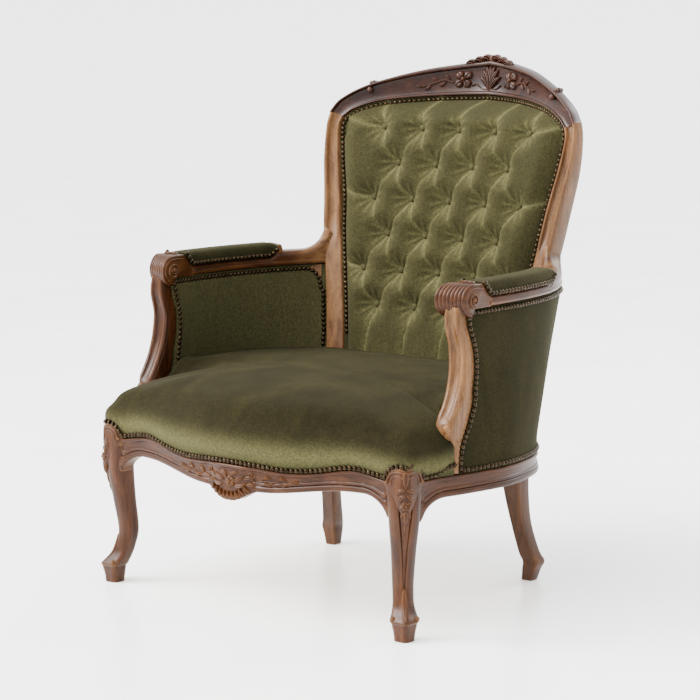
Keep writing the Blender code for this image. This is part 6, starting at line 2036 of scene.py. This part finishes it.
def seat_nails():
    """Row along the seat's edge: over the front rail, the leg's carved head and back to the arm post."""
    x, y = leg_centre(leg_row(-LEG_BLOCK_DROP)[0])
    middle = Vector((x, y))
    half = seat_outline()[: len(seat_outline()) // 2]
    line = []
    facing = []

    def add(p, z):
        out = (p - seat_place(0.0, 0.0)).normalized()
        line.append(Vector((p.x + 0.002 * out.x, p.y + 0.002 * out.y, z)))
        facing.append((out.x, out.y, 0.0))

    for p in half:
        if p.x < x and (p - middle).dot(ACROSS) < -CARTOUCHE_HALF:
            add(p, seat_edge(p) + NAIL_RADIUS)
    for k in range(31):
        e = mix(-CARTOUCHE_HALF, CARTOUCHE_HALF, k / 30)
        at, n = cartouche_surface(e, cartouche_top(e))
        line.append(at - n * 0.001 + Vector((0.0, 0.0, 0.9 * NAIL_RADIUS)))
        facing.append(n)
    for p in half:
        if p.y < SEAT_EAR_Y + CLEARANCE and p.x > x and (p - middle).dot(ACROSS) > CARTOUCHE_HALF:
            rise = SIDE_NAIL_RISE * smooth((p.y - SEAT_EAR_Y) / SIDE_NAIL_RISE_RUN + 1)
            add(p, seat_edge(p) + NAIL_RADIUS + rise)
    return nail_row(line, facing)


def wall_row(places, face, sign):
    """Nails on a face of the side's wall at places of share along and height."""
    line = []
    facing = []
    low = INSIDE_PAD_BOTTOM if sign < 0 else NAIL_LINE + SEAT_GAP
    for share, z in places:
        at, n = wall_place(face, (z - low) / (ARM_UNDERSIDE - low), share, z)
        line.append(at)
        facing.append(n * sign)
    return nail_row(line, facing)


def inside_end(z):
    """Share along the wall at which the inside of the arm meets the stile's outer edge."""
    for k in range(100):
        share = 1 - 0.005 * k
        at, _ = wall_place(inside_face, 0.9, share, z)
        if at.x > stile_edge(z, 2) + PANEL_EDGE:
            return share
    return 0.5


def inside_corner():
    """Rounded corner of the inside panel between the arm and the stile, as shares along and heights."""
    top = ARM_UNDERSIDE - PANEL_EDGE
    end = inside_end(top)
    run = PANEL_CORNER / arm_line(81)[1]
    turns = [math.pi / 2 * k / 10 for k in range(11)]
    return [(end - run + run * math.sin(t), top - PANEL_CORNER * (1 - math.cos(t))) for t in turns]


def panel_nails():
    """Rows round the inside and outside of an arm."""
    top = ARM_UNDERSIDE - PANEL_EDGE
    corner = inside_corner()
    border = [(INSIDE_FRONT, mix(PANEL_LOW, top, k / 12)) for k in range(13)]
    border += [(mix(INSIDE_FRONT, corner[0][0], k / 30), top) for k in range(1, 30)]
    border += corner
    for k in range(1, 13):
        z = mix(top - PANEL_CORNER, PANEL_LOW, k / 12)
        border.append((inside_end(z), z))
    rows = [wall_row(border, inside_face, -1)]
    low = NAIL_LINE + PANEL_EDGE
    around = [(mix(PANEL_END, PANEL_FRONT, k / 60), low) for k in range(61)]
    around += [(PANEL_FRONT, mix(low, top, k / 20)) for k in range(1, 21)]
    around += [(mix(PANEL_FRONT, PANEL_END, k / 60), top) for k in range(1, 61)]
    rows.append(wall_row(around, outside_face, 1))
    return rows


def back_nails():
    """Rows round the opening of the back, on its front and behind."""
    border = []
    inset = NAIL_RADIUS + BACK_NAIL_GAP
    for k in range(120):
        z = mix(BACK_NAIL_LOW, stile_rows(2)[-1][1] - BACK_NAIL_DROP, k / 119)
        x = back_inner_x(z) - inset
        border.append(Vector((x, back_front(x, z) + PAD_RIM, z)))
    for xi, zi, _, _ in crest_rows(60)[3:]:
        x = xi * BACK_NAIL_SHARE
        border.append(Vector((x, back_front(x, zi) + PAD_RIM, zi - inset)))
    panel = BACK_PANEL_DEPTH + BACK_PANEL_THICKNESS
    low = BACK_PANEL_BOTTOM + inset
    corner = back_inner_x(low) - inset
    behind = [Vector((x, back_front(x, 0.0) + panel, low)) for x in (corner * k / 30 for k in range(31))]
    for k in range(1, 40):
        z = mix(low, border[0].z, k / 40)
        x = back_inner_x(z) - inset
        behind.append(Vector((x, back_front(x, max(z, 0.0)) + panel, z)))
    behind += [Vector((p.x, p.y - PAD_RIM + panel, p.z)) for p in border]
    return [nail_row(border, [(0.0, -1.0, 0.1)] * 2), nail_row(behind, [(0.0, 1.0, 0.0)] * 2)]


def pad_nails(sign):
    line = []
    facing = []
    for k in range(71):
        run = mix(ARM_PAD_START - ARM_SLOPE_RUN + 0.006, ARM_PAD_END - 0.004, k / 70)
        n = arm_at(run)[1]
        line.append(arm_place(run, sign * (arm_half_width(run) + ARM_PAD_OVERHANG), arm_top(run) + 0.0048))
        facing.append((sign * n.x, sign * n.y, 0.1))
    return nail_row(line, facing)


def nails():
    rows = [seat_nails(), *panel_nails(), *back_nails(), pad_nails(1), pad_nails(-1)]
    piece("dome_nails", both(join(*rows)), "brass", (), THIN_SHARP)


# Carried-over pieces, stage and camera


def dress_carried():
    for node in bpy.data.objects:
        for look, names in CARRIED.items():
            if node.type == "MESH" and node.name.startswith(names):
                node.data.materials.clear()
                node.data.materials.append(LOOKS[look])


def stage():
    look = Look("pale_floor")
    cloud = look.noise((3.0, 3.0, 3.0), 2.0)
    pale = look.ramp(cloud, (0.3, (0.93, 0.93, 0.94)), (0.7, (0.96, 0.96, 0.96)))
    look.set(Base_Color=pale, Roughness=look.span(cloud, 0.3, 0.7, 0.24, 0.30))
    mesh = bpy.data.meshes.new("floor")
    reach = FLOOR_REACH
    corners = [(-reach, -reach, 0.0), (reach, -reach, 0.0), (reach, reach, 0.0), (-reach, reach, 0.0)]
    mesh.from_pydata(corners, [], [(0, 1, 2, 3)])
    mesh.materials.append(look.bump(cloud, 0.02, 0.001).material)
    floor = bpy.data.objects.new("floor", mesh)
    bpy.context.scene.collection.objects.link(floor)


def light(name, place, target, size, watts, colour):
    data = bpy.data.lights.new(name, "AREA")
    data.shape = "DISK"
    data.size = size
    data.energy = watts
    data.color = colour
    lamp = bpy.data.objects.new(name, data)
    lamp.location = place
    lamp.rotation_euler = (Vector(target) - Vector(place)).to_track_quat("-Z", "Y").to_euler()
    bpy.context.scene.collection.objects.link(lamp)


def studio():
    world = bpy.data.worlds.new("studio")
    world.use_nodes = True
    world.node_tree.nodes["Background"].inputs["Color"].default_value = (1.0, 1.0, 1.0, 1.0)
    world.node_tree.nodes["Background"].inputs["Strength"].default_value = 2.7
    bpy.context.scene.world = world
    middle = (0.0, 0.0, 0.5)
    soft = bpy.data.lights.new("wide_soft_light", "SUN")
    soft.energy = 8.5
    soft.angle = math.radians(70)
    lamp = bpy.data.objects.new("wide_soft_light", soft)
    lamp.rotation_euler = Vector((1.6, 2.4, -3.4)).to_track_quat("-Z", "Y").to_euler()
    bpy.context.collection.objects.link(lamp)
    light("key", (-2.4, -2.4, 3.2), middle, 1.8, 300.0, (1.0, 0.98, 0.95))
    light("rim", (0.6, 3.0, 2.6), middle, 2.0, 100.0, (1.0, 1.0, 1.0))


def camera():
    back = Vector(
        (
            math.sin(CAMERA_AZIMUTH) * math.cos(CAMERA_ELEVATION),
            -math.cos(CAMERA_AZIMUTH) * math.cos(CAMERA_ELEVATION),
            math.sin(CAMERA_ELEVATION),
        )
    )
    data = bpy.data.cameras.new("photo")
    data.sensor_width = SENSOR
    data.lens = LENS
    eye = bpy.data.objects.new("photo", data)
    eye.location = CAMERA_TARGET + back * CAMERA_DISTANCE + Vector((0.0, ORIGIN.y, 0.0))
    eye.rotation_euler = (-back).to_track_quat("-Z", "Y").to_euler()
    bpy.context.scene.collection.objects.link(eye)
    bpy.context.scene.camera = eye


show_wood()
upholstery()
nails()
dress_carried()
stage()
studio()
camera()
